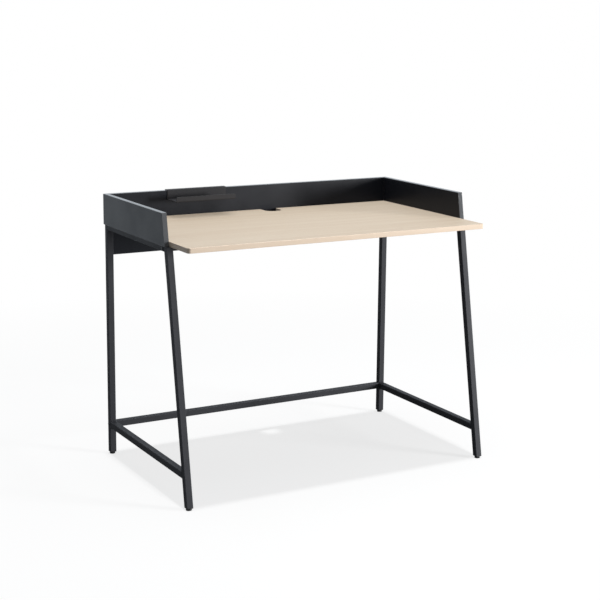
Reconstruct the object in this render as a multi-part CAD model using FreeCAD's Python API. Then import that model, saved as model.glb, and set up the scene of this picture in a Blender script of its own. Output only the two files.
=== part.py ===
import FreeCAD, Part
import math
import os

# Computer desk: an oak top held between two welded side frames of steel tube, which a crossbar and a rear
# stretcher tie together, with black panels round three sides of the top and a sheet-steel tray hooked
# over the back panel.
# Millimetres. X runs to the right, -Y is the front, +Z is up. The origin is on the floor, in the middle
# of the footprint.

# Overall sizes
desktop_width = 1000.0
desktop_depth = 575.0
desktop_top = 750.0
board_thickness = 15.0
desktop_corner_radius = 10.0
foot_reach = 10.0

# Panels round the desktop
panel_rise = 80.0
panel_overhang = 3.0
panel_setback = 8.0
modesty_drop = 95.0
leg_gap = 0.5

# Cable notch in the rear edge of the desktop
notch_offset = 52.0
notch_width = 57.0
notch_depth = 56.0
notch_radius = 24.0

# Tube of the frame: square, but lower in the top rails and the crossbar
tube_size = 20.0
top_tube_height = 15.0
tube_wall = 1.5
tube_corner_radius = 2.0
front_leg_lean = 10.0
lower_rail_height = 97.0

# Feet: a pad on a threaded stem, in a plastic insert in the end of the leg
pad_radius = 8.5
pad_height = 5.0
pad_gap = 1.5
insert_flange = 2.0
insert_depth = 24.0
stem_radius = 3.0
stem_reach = 20.0
thread_clearance = 0.2
seat_clearance = 0.1

# Tabs that hold the desktop on the top rails
tab_length = 28.0
tab_width = 30.0
tab_thickness = 3.0
tab_corner_radius = 6.0
tab_hole_radius = 2.5
tab_from_rear_leg = 45.0
tab_from_crossbar = 15.0
tab_screw_radius = 2.0
tab_screw_head_radius = 4.5
tab_screw_head_height = 2.5
tab_screw_bite = 11.0

# Bolts that hold the stretcher between the rear legs and the crossbar between the top rails
bolt_radius = 3.0
bolt_head_radius = 5.0
bolt_head_height = 2.5
bolt_hole_clearance = 0.25
end_nut_length = 14.0
bolt_bite = 11.0

# Cam fittings and dowels that hold the boards together
cam_radius = 7.5
cam_height = 12.0
cam_setback = 24.0
cam_bolt_radius = 2.5
cam_bolt_bite = 11.0
cam_bolt_head_radius = 3.5
cam_bolt_head_length = 2.5
cam_from_tab = 40.0
dowel_radius = 4.0
dowel_length = 30.0
dowel_bite = 10.0
dowel_offset = 26.0
hole_end_gap = 0.5

# Hidden bars and their holes are drawn with this many flats
peg_flats = 8

# Screws from the back panel into the desktop
back_screw_radius = 2.5
back_screw_length = 50.0
back_screw_head_radius = 5.0
back_screw_head_height = 3.0
back_screw_pitch = 330.0
back_screw_count = 3

# Tray bent from one sheet, hooked over the back panel
tray_length = 204.0
tray_offset = -205.0
tray_reach = 72.0
tray_sheet = 2.0
tray_drop = 29.0
tray_lip = 16.0
tray_hook_drop = 18.0
tray_bend_radius = 0.8
tray_corner_radius = 4.0
hang_clearance = 0.3
hook_play = 0.5

# From the rear of the back panel to the tips of the front feet, which stand out beyond the desktop
overall_depth = board_thickness + desktop_depth + foot_reach

# Longer than the whole desk, for bars and blocks that are then cut to fit
beyond = 2 * (desktop_width + overall_depth + desktop_top)

# Two places closer than this are the same place
same_place = 1e-6

# Places worked out from the sizes above
SIDES = {"left": -1, "right": 1}
X_AXIS = FreeCAD.Vector(1, 0, 0)
Y_AXIS = FreeCAD.Vector(0, 1, 0)
Z_AXIS = FreeCAD.Vector(0, 0, 1)
ORIGIN = FreeCAD.Vector(0, 0, 0)

panel_rear = overall_depth / 2
panel_inner = desktop_width / 2
back_panel_front = panel_rear - board_thickness
back_panel_middle = panel_rear - board_thickness / 2
desktop_underside = desktop_top - board_thickness
desktop_middle = desktop_top - board_thickness / 2
desktop_front = back_panel_front - desktop_depth
panel_top = desktop_top + panel_rise
panel_middle = (desktop_underside + panel_top) / 2
modesty_bottom = desktop_underside - modesty_drop

frame_rear = panel_rear - panel_overhang
frame_outer = panel_inner + board_thickness - panel_overhang
frame_inner = frame_outer - tube_size
leg_x = frame_outer - tube_size / 2
rear_leg_y = frame_rear - tube_size / 2
rear_leg_front = frame_rear - tube_size
leg_end = pad_height + pad_gap + insert_flange
lean_slope = math.tan(math.radians(front_leg_lean))
lean_depth = tube_size / math.cos(math.radians(front_leg_lean))
front_leg_end_y = -overall_depth / 2 + lean_depth / 2
top_rail_middle = desktop_underside - top_tube_height / 2

dowel_heights = [panel_middle - dowel_offset, panel_middle + dowel_offset]
back_screw_places = [(i - (back_screw_count - 1) / 2) * back_screw_pitch for i in range(back_screw_count)]


def leg_front(height):
    """Y of the leaning leg's front face at a height above the floor."""
    return -overall_depth / 2 + (height - leg_end) * lean_slope


def leg_back(height):
    """Y of the leaning leg's rear face at a height above the floor."""
    return leg_front(height) + lean_depth


def crossbar_y():
    """Y of the crossbar's middle, close behind the upper ends of the front legs."""
    return leg_back(desktop_underside) + tube_size / 2


def tab_rows():
    """Y of the middles of the rear tabs and of the front tabs."""
    rear = rear_leg_front - tab_from_rear_leg - tab_width / 2
    front = crossbar_y() + tube_size / 2 + tab_from_crossbar + tab_width / 2
    return rear, front


def cam_rows():
    """Y of the cam fittings at the desktop's ends, each between the tabs and clear of the nearer one."""
    rear, front = tab_rows()
    reach = tab_width / 2 + cam_from_tab + cam_radius
    return rear - reach, front + reach


def dowel_rows():
    """Y of the dowels at the desktop's ends, each beside a cam fitting."""
    rear, front = cam_rows()
    return rear - dowel_offset, front + dowel_offset


def box(x, y, z):
    """Block between two values along each axis, given in any order."""
    low = FreeCAD.Vector(min(x), min(y), min(z))
    return Part.makeBox(max(x) - min(x), max(y) - min(y), max(z) - min(z), low)


def rod(radius, length, start, axis):
    """Round bar from a start point along an axis."""
    return Part.makeCylinder(radius, length, start, axis)


def plate(outline, thickness):
    """Flat plate: an outline of points carried along a vector."""
    wire = Part.makePolygon(outline + outline[:1])
    return Part.Face(wire).extrude(thickness)


def peg(radius, length, start, axis):
    """Hidden round bar or hole, drawn with flats, from a start point along an axis."""
    across = Y_AXIS if abs(axis.x) > 0.5 else X_AXIS
    up = axis.cross(across)
    corners = []
    for i in range(peg_flats):
        turn = 2 * math.pi * (i + 0.5) / peg_flats
        corners.append(start + across * (radius * math.cos(turn)) + up * (radius * math.sin(turn)))
    return plate(corners, axis * length)


def join(shapes):
    """One solid from touching shapes."""
    return shapes[0].fuse(shapes[1:]).removeSplitter()


def edges_along(shape, axis):
    """Straight edges of a shape that run parallel to an axis."""
    found = []
    for edge in shape.Edges:
        run = edge.lastVertex().Point - edge.firstVertex().Point
        if run.Length > same_place and run.cross(axis).Length < same_place * run.Length:
            found.append(edge)
    return found


def upright_edges_at(shape, y):
    """Upright edges of a shape that stand at one place along Y."""
    return [edge for edge in edges_along(shape, Z_AXIS) if abs(edge.firstVertex().Point.y - y) < same_place]


def standing_bar(height, length, inset=0.0):
    """Bar along the Z axis, centred on the origin: a tube's height along X and its usual size along Y."""
    half_height = height / 2 - inset
    half_width = tube_size / 2 - inset
    return box((-half_height, half_height), (-half_width, half_width), (-length / 2, length / 2))


def outer_bar(length, height=tube_size):
    """The outside of a tube, with its rolled corners."""
    bar = standing_bar(height, length)
    return bar.makeFillet(tube_corner_radius, edges_along(bar, Z_AXIS))


def inner_bar(length, height=tube_size, gap=0.0):
    """The inside of a tube, less a gap all round."""
    return standing_bar(height, length, tube_wall + gap)


def lying_tube(length, height):
    """Tube of a given height that lies along the X axis, centred on the origin."""
    tube = outer_bar(length, height).cut(inner_bar(length, height))
    tube.rotate(ORIGIN, Y_AXIS, 90)
    return tube


def place_on_leg(bar, side, leg):
    """Stand a bar on a leg's centre line: upright at the rear, leaning back at the front."""
    if leg == "front":
        bar.rotate(ORIGIN, X_AXIS, -front_leg_lean)
    bar.translate(leg_foot(side, leg))
    return bar


def leg_foot(side, leg):
    """Middle of a leg's lower end."""
    y = front_leg_end_y if leg == "front" else rear_leg_y
    return FreeCAD.Vector(side * leg_x, y, leg_end)


def slab(low, high):
    """Everything between two heights."""
    return box((-beyond, beyond), (-beyond, beyond), (low, high))


def bolt_hole(side, y, middle_height):
    """Hole from side to side through a tube of a side frame, for a bolt into a cross tube."""
    start = FreeCAD.Vector(side * frame_inner, y, middle_height)
    return peg(bolt_radius + bolt_hole_clearance, tube_size, start, X_AXIS * side)


def leg_tube(side, leg):
    """Leg of square tube, closed at its top, cut level at both ends."""
    shell = place_on_leg(outer_bar(beyond), side, leg).common(slab(leg_end, desktop_underside))
    hollow = place_on_leg(inner_bar(beyond), side, leg)
    hollow = hollow.common(slab(leg_end, desktop_underside - tube_wall))
    tube = shell.cut(hollow)
    if leg == "rear":
        tube = tube.cut(bolt_hole(side, rear_leg_y, lower_rail_height))
    return tube


def side_rail(side, middle_height, tube_height):
    """Rail from the rear leg to the front leg, its front end cut to the leg's lean."""
    rail = lying_tube(beyond, tube_height)
    rail.rotate(ORIGIN, Z_AXIS, 90)
    rail.translate(FreeCAD.Vector(side * leg_x, 0, middle_height))
    low = middle_height - tube_height
    high = middle_height + tube_height
    outline = [
        FreeCAD.Vector(0, rear_leg_front, high),
        FreeCAD.Vector(0, rear_leg_front, low),
        FreeCAD.Vector(0, leg_back(low), low),
        FreeCAD.Vector(0, leg_back(high), high),
    ]
    between = plate(outline, X_AXIS * side * beyond)
    return rail.common(between)


def top_rail(side):
    """Low rail under a side panel, with a hole for the crossbar's bolt."""
    rail = side_rail(side, top_rail_middle, top_tube_height)
    return rail.cut(bolt_hole(side, crossbar_y(), top_rail_middle))


def cross_tube(y, middle_height, tube_height):
    """Tube from one side frame to the other."""
    tube = lying_tube(2 * frame_inner, tube_height)
    tube.translate(FreeCAD.Vector(0, y, middle_height))
    return tube


def end_nuts(y, middle_height, tube_height):
    """Threaded plugs welded into the ends of a cross tube, flush with its ends."""
    nuts = []
    for side in SIDES.values():
        nut = inner_bar(end_nut_length, tube_height, seat_clearance)
        nut.rotate(ORIGIN, Y_AXIS, 90)
        nut.translate(FreeCAD.Vector(side * (frame_inner - end_nut_length / 2), y, middle_height))
        start = FreeCAD.Vector(side * frame_inner, y, middle_height)
        bore = peg(bolt_radius + seat_clearance, end_nut_length, start, X_AXIS * -side)
        nuts.append(nut.cut(bore))
    return Part.makeCompound(nuts)


def cross_bolts(y, middle_height):
    """Low-headed bolts through the side frames into the end nuts of a cross tube."""
    bolts = []
    for side in SIDES.values():
        start = FreeCAD.Vector(side * frame_outer, y, middle_height)
        head = rod(bolt_head_radius, bolt_head_height, start, X_AXIS * side)
        shank = peg(bolt_radius, tube_size + bolt_bite, start, X_AXIS * -side)
        bolts.append(join([head, shank]))
    return Part.makeCompound(bolts)


def leg_insert(side, leg):
    """Plastic insert in a leg's end: a flange under the tube and a plug inside it, bored for the stem."""
    flange = place_on_leg(outer_bar(beyond), side, leg).common(slab(leg_end - insert_flange, leg_end))
    plug = place_on_leg(inner_bar(beyond, gap=seat_clearance), side, leg)
    plug = plug.common(slab(leg_end, leg_end + insert_depth))
    bore_start = leg_foot(side, leg) - Z_AXIS * insert_flange
    bore = rod(stem_radius + thread_clearance, insert_flange + insert_depth, bore_start, Z_AXIS)
    return join([flange, plug]).cut(bore)


def foot_pad(side, leg):
    """Round foot pad on the floor, under the stem."""
    foot = leg_foot(side, leg)
    return rod(pad_radius, pad_height, FreeCAD.Vector(foot.x, foot.y, 0), Z_AXIS)


def foot_stem(side, leg):
    """Threaded stem of a foot, from the pad up into the insert."""
    foot = leg_foot(side, leg)
    start = FreeCAD.Vector(foot.x, foot.y, pad_height)
    return rod(stem_radius, leg_end + stem_reach - pad_height, start, Z_AXIS)


def tab_places(side):
    """Middles of the tabs along one top rail."""
    x = side * (frame_inner - tab_length / 2)
    return [FreeCAD.Vector(x, y, desktop_underside) for y in tab_rows()]


def desktop_tabs(side):
    """Flat tabs welded to a top rail, level with its top, with a screw hole in each."""
    tabs = []
    for place in tab_places(side):
        inner = side * (frame_inner - tab_length)
        ends = (place.y - tab_width / 2, place.y + tab_width / 2)
        tab = box((side * frame_inner, inner), ends, (desktop_underside - tab_thickness, desktop_underside))
        corners = [e for e in edges_along(tab, Z_AXIS) if abs(e.firstVertex().Point.x - inner) < same_place]
        tab = tab.makeFillet(tab_corner_radius, corners)
        hole = peg(tab_hole_radius, tab_thickness, place - Z_AXIS * tab_thickness, Z_AXIS)
        tabs.append(tab.cut(hole))
    return Part.makeCompound(tabs)


def tab_screw(place):
    """Screw from below through a tab into the desktop."""
    seat = place - Z_AXIS * tab_thickness
    head = peg(tab_screw_head_radius, tab_screw_head_height, seat, Z_AXIS * -1)
    shank = peg(tab_screw_radius, tab_thickness + tab_screw_bite, seat, Z_AXIS)
    return join([head, shank])


def tab_screws():
    """All the screws that hold the desktop on the tabs."""
    places = [place for side in SIDES.values() for place in tab_places(side)]
    return Part.makeCompound([tab_screw(place) for place in places])


def cam_bolt(start, axis):
    """Cam bolt from a panel's inner face: its thread in the panel, its shank and head towards the cam."""
    shank = peg(cam_bolt_radius, cam_bolt_bite + cam_setback, start - axis * cam_bolt_bite, axis)
    head = peg(cam_bolt_head_radius, cam_bolt_head_length, start + axis * cam_setback, axis)
    return join([shank, head])


def cam_bolt_hole(start, axis):
    """Holes for a cam bolt: a thread hole in the panel and a bolt bore in the board that it draws in."""
    bite = peg(cam_bolt_radius + seat_clearance, cam_bolt_bite + hole_end_gap, start, axis * -1)
    bore_length = cam_setback + cam_bolt_head_length + hole_end_gap
    bore = peg(cam_bolt_head_radius + seat_clearance, bore_length, start, axis)
    return join([bite, bore])


def cam_disc(start, axis, face, gap=0.0):
    """Cam disc let into a board's face, beside the end of its bolt; with a gap it is the disc's pocket."""
    middle = start + axis * cam_setback + face * (board_thickness / 2)
    return rod(cam_radius + gap, cam_height + gap, middle, face * -1)


def dowel(start, axis):
    """Wooden dowel across the joint between a panel and a board."""
    return peg(dowel_radius, dowel_length, start - axis * dowel_bite, axis)


def dowel_hole(start, axis):
    """Holes for a dowel on both sides of the joint."""
    length = dowel_length + 2 * hole_end_gap
    return peg(dowel_radius + seat_clearance, length, start - axis * (dowel_bite + hole_end_gap), axis)


def desktop_joints(rows, sides):
    """Points and directions of the fittings between the side panels and the desktop's ends."""
    return [
        (FreeCAD.Vector(side * panel_inner, row, desktop_middle), X_AXIS * -side)
        for side in sides
        for row in rows
    ]


def back_joints(heights, sides):
    """Points and directions of the fittings between the side panels and the back panel's ends."""
    return [
        (FreeCAD.Vector(side * panel_inner, back_panel_middle, height), X_AXIS * -side)
        for side in sides
        for height in heights
    ]


def desktop_cams(sides=SIDES.values()):
    """Cam fittings that draw the desktop against the side panels."""
    return desktop_joints(cam_rows(), sides)


def desktop_dowels(sides=SIDES.values()):
    """Dowels between the desktop and the side panels."""
    return desktop_joints(dowel_rows(), sides)


def back_cams(sides=SIDES.values()):
    """Cam fittings that draw the back panel against the side panels."""
    return back_joints([panel_middle], sides)


def back_dowels(sides=SIDES.values()):
    """Dowels between the back panel and the side panels."""
    return back_joints(dowel_heights, sides)


def cam_discs(joints, face):
    """Cam discs of a row of joints, each opened where its bolt's head goes in."""
    discs = []
    for start, axis in joints:
        discs.append(cam_disc(start, axis, face).cut(cam_bolt_hole(start, axis)))
    return Part.makeCompound(discs)


def back_screw_seats():
    """Points on the back panel's rear face where the screws into the desktop go in."""
    return [FreeCAD.Vector(x, panel_rear, desktop_middle) for x in back_screw_places]


def back_screw(seat, gap=0.0):
    """Flush-headed screw through the back panel into the desktop's edge; with a gap it is its hole."""
    head = rod(back_screw_head_radius + gap, back_screw_head_height, seat, Y_AXIS * -1)
    shank = peg(back_screw_radius + gap, back_screw_length + gap, seat, Y_AXIS * -1)
    return join([head, shank])


def notch():
    """Cable notch cut in the desktop's rear edge, with rounded inner corners."""
    ends = (notch_offset - notch_width / 2, notch_offset + notch_width / 2)
    front = back_panel_front - notch_depth
    cut = box(ends, (front, back_panel_front + notch_depth), (desktop_underside, desktop_top))
    return cut.makeFillet(notch_radius, upright_edges_at(cut, front))


def desktop():
    """Oak top with rounded front corners, the cable notch and the holes for its fittings."""
    ends = (-panel_inner, panel_inner)
    top = box(ends, (desktop_front, back_panel_front), (desktop_underside, desktop_top))
    top = top.makeFillet(desktop_corner_radius, upright_edges_at(top, desktop_front))
    cuts = [notch()]
    for start, axis in desktop_cams():
        cuts.append(cam_bolt_hole(start, axis))
        cuts.append(cam_disc(start, axis, Z_AXIS * -1, seat_clearance))
    cuts += [dowel_hole(start, axis) for start, axis in desktop_dowels()]
    cuts += [back_screw(seat, seat_clearance) for seat in back_screw_seats()]
    for side in SIDES.values():
        for place in tab_places(side):
            cuts.append(peg(tab_screw_radius + seat_clearance, tab_screw_bite + hole_end_gap, place, Z_AXIS))
    return top.cut(cuts)


def side_panel(side):
    """Side panel that stands on the top rail, its front edge leaning with the front leg."""
    x = side * panel_inner
    outline = [
        FreeCAD.Vector(x, panel_rear, desktop_underside),
        FreeCAD.Vector(x, leg_front(desktop_underside) + panel_setback, desktop_underside),
        FreeCAD.Vector(x, leg_front(panel_top) + panel_setback, panel_top),
        FreeCAD.Vector(x, panel_rear, panel_top),
    ]
    panel = plate(outline, X_AXIS * side * board_thickness)
    cams = desktop_cams([side]) + back_cams([side])
    dowels = desktop_dowels([side]) + back_dowels([side])
    cuts = [cam_bolt_hole(start, axis) for start, axis in cams]
    cuts += [dowel_hole(start, axis) for start, axis in dowels]
    return panel.cut(cuts)


def back_panel():
    """Back panel between the side panels, its lower part narrower so that it passes between the rear legs."""
    low = frame_inner - leg_gap
    outline = [
        FreeCAD.Vector(-low, panel_rear, modesty_bottom),
        FreeCAD.Vector(low, panel_rear, modesty_bottom),
        FreeCAD.Vector(low, panel_rear, desktop_underside),
        FreeCAD.Vector(panel_inner, panel_rear, desktop_underside),
        FreeCAD.Vector(panel_inner, panel_rear, panel_top),
        FreeCAD.Vector(-panel_inner, panel_rear, panel_top),
        FreeCAD.Vector(-panel_inner, panel_rear, desktop_underside),
        FreeCAD.Vector(-low, panel_rear, desktop_underside),
    ]
    panel = plate(outline, Y_AXIS * -board_thickness)
    cuts = [back_screw(seat, seat_clearance) for seat in back_screw_seats()]
    for start, axis in back_cams():
        cuts.append(cam_bolt_hole(start, axis))
        cuts.append(cam_disc(start, axis, Y_AXIS, seat_clearance))
    cuts += [dowel_hole(start, axis) for start, axis in back_dowels()]
    return panel.cut(cuts)


def bent_edges(points, radii):
    """Edges of an open path of points in one plane, with a tangent arc of the given radius at each bend."""
    edges = []
    start = points[0]
    for before, corner, after, radius in zip(points, points[1:], points[2:], radii):
        back = (before - corner).normalize()
        ahead = (after - corner).normalize()
        half_angle = back.getAngle(ahead) / 2
        reach = radius / math.tan(half_angle)
        inward = (back + ahead).normalize()
        first = corner + back * reach
        middle = corner + inward * (radius / math.sin(half_angle) - radius)
        last = corner + ahead * reach
        edges.append(Part.LineSegment(start, first).toShape())
        edges.append(Part.Arc(first, middle, last).toShape())
        start = last
    edges.append(Part.LineSegment(start, points[-1]).toShape())
    return edges


def tray():
    """Tray bent from one sheet: hook behind the back panel, over its top, down its front, floor and lip."""
    flange = panel_rear + hook_play
    top = panel_top + hang_clearance
    wall = back_panel_front - hook_play
    floor = panel_top - tray_drop
    front = wall - tray_reach
    x = tray_offset - tray_length / 2
    near = [
        FreeCAD.Vector(x, flange, top + tray_sheet - tray_hook_drop),
        FreeCAD.Vector(x, flange, top),
        FreeCAD.Vector(x, wall, top),
        FreeCAD.Vector(x, wall, floor),
        FreeCAD.Vector(x, front, floor),
        FreeCAD.Vector(x, front, floor + tray_lip),
    ]
    far = [
        FreeCAD.Vector(x, flange + tray_sheet, near[0].z),
        FreeCAD.Vector(x, flange + tray_sheet, top + tray_sheet),
        FreeCAD.Vector(x, wall - tray_sheet, top + tray_sheet),
        FreeCAD.Vector(x, wall - tray_sheet, floor + tray_sheet),
        FreeCAD.Vector(x, front + tray_sheet, floor + tray_sheet),
        FreeCAD.Vector(x, front + tray_sheet, near[-1].z),
    ]
    inside = tray_bend_radius
    outside = tray_bend_radius + tray_sheet
    near_edges = bent_edges(near, [inside, inside, outside, outside])
    far_edges = bent_edges(far, [outside, outside, inside, inside])
    ends = [
        Part.LineSegment(near[-1], far[-1]).toShape(),
        Part.LineSegment(far[0], near[0]).toShape(),
    ]
    section = Part.Wire(Part.__sortEdges__(near_edges + far_edges + ends))
    sheet = Part.Face(section).extrude(X_AXIS * tray_length)
    rims = [edge for edge in edges_along(sheet, Y_AXIS) if abs(edge.Length - tray_sheet) < same_place]
    return sheet.makeFillet(tray_corner_radius, rims)


def build():
    """Every node of the desk by name."""
    nodes = {
        "desktop": desktop(),
        "back_panel": back_panel(),
        "rear_stretcher": cross_tube(rear_leg_y, lower_rail_height, tube_size),
        "stretcher_end_nuts": end_nuts(rear_leg_y, lower_rail_height, tube_size),
        "stretcher_bolts": cross_bolts(rear_leg_y, lower_rail_height),
        "front_crossbar": cross_tube(crossbar_y(), top_rail_middle, top_tube_height),
        "crossbar_end_nuts": end_nuts(crossbar_y(), top_rail_middle, top_tube_height),
        "crossbar_bolts": cross_bolts(crossbar_y(), top_rail_middle),
        "tab_screws": tab_screws(),
        "desktop_cam_bolts": Part.makeCompound([cam_bolt(*joint) for joint in desktop_cams()]),
        "desktop_cam_discs": cam_discs(desktop_cams(), Z_AXIS * -1),
        "desktop_dowels": Part.makeCompound([dowel(*joint) for joint in desktop_dowels()]),
        "back_panel_cam_bolts": Part.makeCompound([cam_bolt(*joint) for joint in back_cams()]),
        "back_panel_cam_discs": cam_discs(back_cams(), Y_AXIS),
        "back_panel_dowels": Part.makeCompound([dowel(*joint) for joint in back_dowels()]),
        "back_panel_screws": Part.makeCompound([back_screw(seat) for seat in back_screw_seats()]),
        "tray": tray(),
    }
    for name, side in SIDES.items():
        nodes[name + "_side_panel"] = side_panel(side)
        nodes[name + "_lower_rail"] = side_rail(side, lower_rail_height, tube_size)
        nodes[name + "_top_rail"] = top_rail(side)
        nodes[name + "_desktop_tabs"] = desktop_tabs(side)
        for leg in ("rear", "front"):
            corner = name + "_" + leg
            nodes[corner + "_leg"] = leg_tube(side, leg)
            nodes[corner + "_leg_insert"] = leg_insert(side, leg)
            nodes[corner + "_foot_pad"] = foot_pad(side, leg)
            nodes[corner + "_foot_stem"] = foot_stem(side, leg)
    return nodes


def main():
    os.makedirs("parts", exist_ok=True)
    for name, shape in build().items():
        shape.exportStep("parts/" + name + ".step")


main()
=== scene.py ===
import math
from functools import partial

import bpy
import numpy as np
from mathutils import Matrix, Vector
from mathutils.geometry import tessellate_polygon


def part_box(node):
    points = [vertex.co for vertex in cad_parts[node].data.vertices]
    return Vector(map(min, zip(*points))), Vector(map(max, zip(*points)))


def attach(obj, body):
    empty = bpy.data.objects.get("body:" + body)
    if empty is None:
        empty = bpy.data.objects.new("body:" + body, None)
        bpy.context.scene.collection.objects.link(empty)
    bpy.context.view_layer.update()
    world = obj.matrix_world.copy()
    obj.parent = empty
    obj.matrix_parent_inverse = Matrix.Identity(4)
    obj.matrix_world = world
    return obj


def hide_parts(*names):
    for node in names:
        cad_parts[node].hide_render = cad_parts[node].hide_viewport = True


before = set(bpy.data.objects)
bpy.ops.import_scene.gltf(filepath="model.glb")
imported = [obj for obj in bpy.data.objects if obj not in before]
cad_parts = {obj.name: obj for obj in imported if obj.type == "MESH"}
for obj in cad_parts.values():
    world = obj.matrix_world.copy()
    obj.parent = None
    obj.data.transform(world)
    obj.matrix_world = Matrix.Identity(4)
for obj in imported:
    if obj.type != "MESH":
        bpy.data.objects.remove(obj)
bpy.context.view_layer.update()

bl_info = {
    "name": "Computer desk",
    "version": (1, 0, 0),
    "blender": (4, 5, 0),
    "location": "View3D > Sidebar > Desk",
    "description": "Dresses the frame of a computer desk with finished boards, tubes, fittings and a tray",
    "category": "Object",
}

SIDES = ("left", "right")
CORNERS = ("left_rear", "left_front", "right_rear", "right_front")
CROSS_TUBES = {"stretcher": "rear_stretcher", "crossbar": "front_crossbar"}

# Board axes: each row is where one of a flat board's own directions points, its thickness last
LEVEL_BOARD = np.array([(1.0, 0.0, 0.0), (0.0, 1.0, 0.0), (0.0, 0.0, 1.0)])
SIDE_BOARD = np.array([(0.0, 1.0, 0.0), (0.0, 0.0, 1.0), (1.0, 0.0, 0.0)])
BACK_BOARD = np.array([(1.0, 0.0, 0.0), (0.0, 0.0, 1.0), (0.0, -1.0, 0.0)])
ALONG_X = np.array((1.0, 0.0, 0.0))
ALONG_Y = np.array((0.0, 1.0, 0.0))
ALONG_Z = np.array((0.0, 0.0, 1.0))

# How finely curves are drawn
ARC_STEPS = 6
EDGE_STEPS = 3
ROUND_STEPS = 48
THREAD_STEPS = 6
WELD_STEPS = 8
SHARP_ANGLE = math.radians(40)

# Cross recess: its arms and half the width of its bars as shares of the head, and how much it narrows
CROSS_ARM = 0.6
CROSS_BAR = 0.135
RECESS_TAPER = 0.82

# Flutes round a dowel
DOWEL_FLUTES = 12

# Digits that angles and places are rounded to, so that equal ones fall together
ANGLE_DIGITS = 6
PLACE_DIGITS = 5

# Least share of a circle's radius along an axis, so that nothing is divided by 0
NEARLY_NONE = 1e-9

# Rings of the floor as shares of its radius, and its colour and the sky's to the camera
FLOOR_RINGS = (0.01, 0.1, 0.5, 1.0)
PLAIN_WHITE = (1.0, 1.0, 1.0, 1.0)

# How many shadow radii out the floor is plain white to the camera, and in reflections
SEEN_WHITE_FROM = 2.0
MIRRORED_WHITE_FROM = 3.0

# Pieces that don't mirror the light in front
MATT_PIECES = ("oak_top", "left_side_board", "right_side_board")


# Places read from the frame

def node_box(node):
    """Lowest and highest corner of one node of the frame, as arrays in metres."""
    low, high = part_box(node)
    return np.array(low), np.array(high)


def front_lean():
    """Lean of the front legs.

    A bar of width t that leans by an angle fills a box of depth d and height h when d times the cosine less
    h times the sine is t. That gives the angle as the arc cosine of t over the box's diagonal, less the
    angle of that diagonal.
    """
    low, high = node_box("left_front_leg")
    width, depth, height = high - low
    return math.acos(width / math.hypot(depth, height)) - math.atan2(height, depth)


LEAN = front_lean()


def leg_lean(corner):
    """Lean of one leg: the front legs lean, and the rear legs are upright."""
    return LEAN if corner.endswith("front") else 0.0


def leg_back(corner, height):
    """Y of a front leg's rear face at a height: its foot, the slope times the height, and the cut width."""
    low, high = node_box(corner + "_leg")
    return low[1] + (height - low[2]) * math.tan(LEAN) + (high[0] - low[0]) / math.cos(LEAN)


def row_ends(low, high, inset):
    """First and last place of a row of round things that fill a length, each in by its radius."""
    return (low + inset, high - inset)


# Settings that a user would change

def length_setting(name, description, default):
    """A length in metres."""
    return bpy.props.FloatProperty(
        name=name, description=description, default=default, min=0.0, precision=5, unit="LENGTH"
    )


def place_setting(name, description, default):
    """A place along an axis in metres, to either side of the origin."""
    return bpy.props.FloatProperty(
        name=name, description=description, default=default, precision=5, unit="LENGTH"
    )


def angle_setting(name, description, default):
    """An angle in radians."""
    return bpy.props.FloatProperty(name=name, description=description, default=default, subtype="ANGLE")


def plain_setting(name, description, default):
    """A number with no unit."""
    return bpy.props.FloatProperty(name=name, description=description, default=default, min=0.0)


def colour_setting(name, description, default):
    """A colour as linear red, green and blue."""
    return bpy.props.FloatVectorProperty(
        name=name, description=description, default=default, min=0.0, max=1.0, size=3, subtype="COLOR"
    )


class DeskBoardSizes(bpy.types.PropertyGroup):
    """Sizes of the wooden boards that the frame doesn't give."""

    edge_round: length_setting("Edge rounding", "Radius of the long edges of a board", 0.0009)
    corner_round: length_setting("Corner rounding", "Radius of a board's plain corners", 0.0012)
    front_corner: length_setting("Front corner", "Radius of the oak top's front corners", 0.010)
    notch_middle: length_setting("Notch middle", "Cable notch's middle, to the right of the desk's", 0.052)
    notch_width: length_setting("Notch width", "Width of the cable notch", 0.057)
    notch_depth: length_setting("Notch depth", "Depth of the cable notch", 0.056)
    notch_round: length_setting("Notch rounding", "Radius of the cable notch's inner corners", 0.024)
    leg_gap: length_setting("Leg gap", "Gap between the back board and each rear leg", 0.0005)
    pocket_gap: length_setting("Pocket gap", "Gap round a fitting let into a board", 0.0001)


class DeskFrameSizes(bpy.types.PropertyGroup):
    """Sizes of the welded steel frame that the frame of nodes doesn't give."""

    tube_wall: length_setting("Tube wall", "Thickness of the square tube", 0.0015)
    tube_corner: length_setting("Tube corner", "Radius of the square tube's rolled corners", 0.002)
    cut_edge: length_setting("Cut edge", "Rounding where a tube is cut off", 0.0003)
    weld_leg: length_setting("Weld leg", "How far a weld bead reaches along each tube", 0.0030)
    weld_pitch: length_setting("Weld pitch", "Spacing of the ripples in a weld bead", 0.0018)
    weld_ripple: plain_setting("Weld ripple", "Height of the ripples, as a share of the weld leg", 0.09)
    weld_bulge: plain_setting("Weld bulge", "Swell of a weld bead, as a share of the weld leg", 0.16)
    weld_sink: plain_setting("Weld sink", "How far a bead is sunk in, as a share of the weld leg", 0.06)
    tab_width: length_setting("Tab width", "Width of a tab along its rail", 0.030)
    tab_corner: length_setting("Tab corner", "Radius of a tab's free corners", 0.006)


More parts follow.
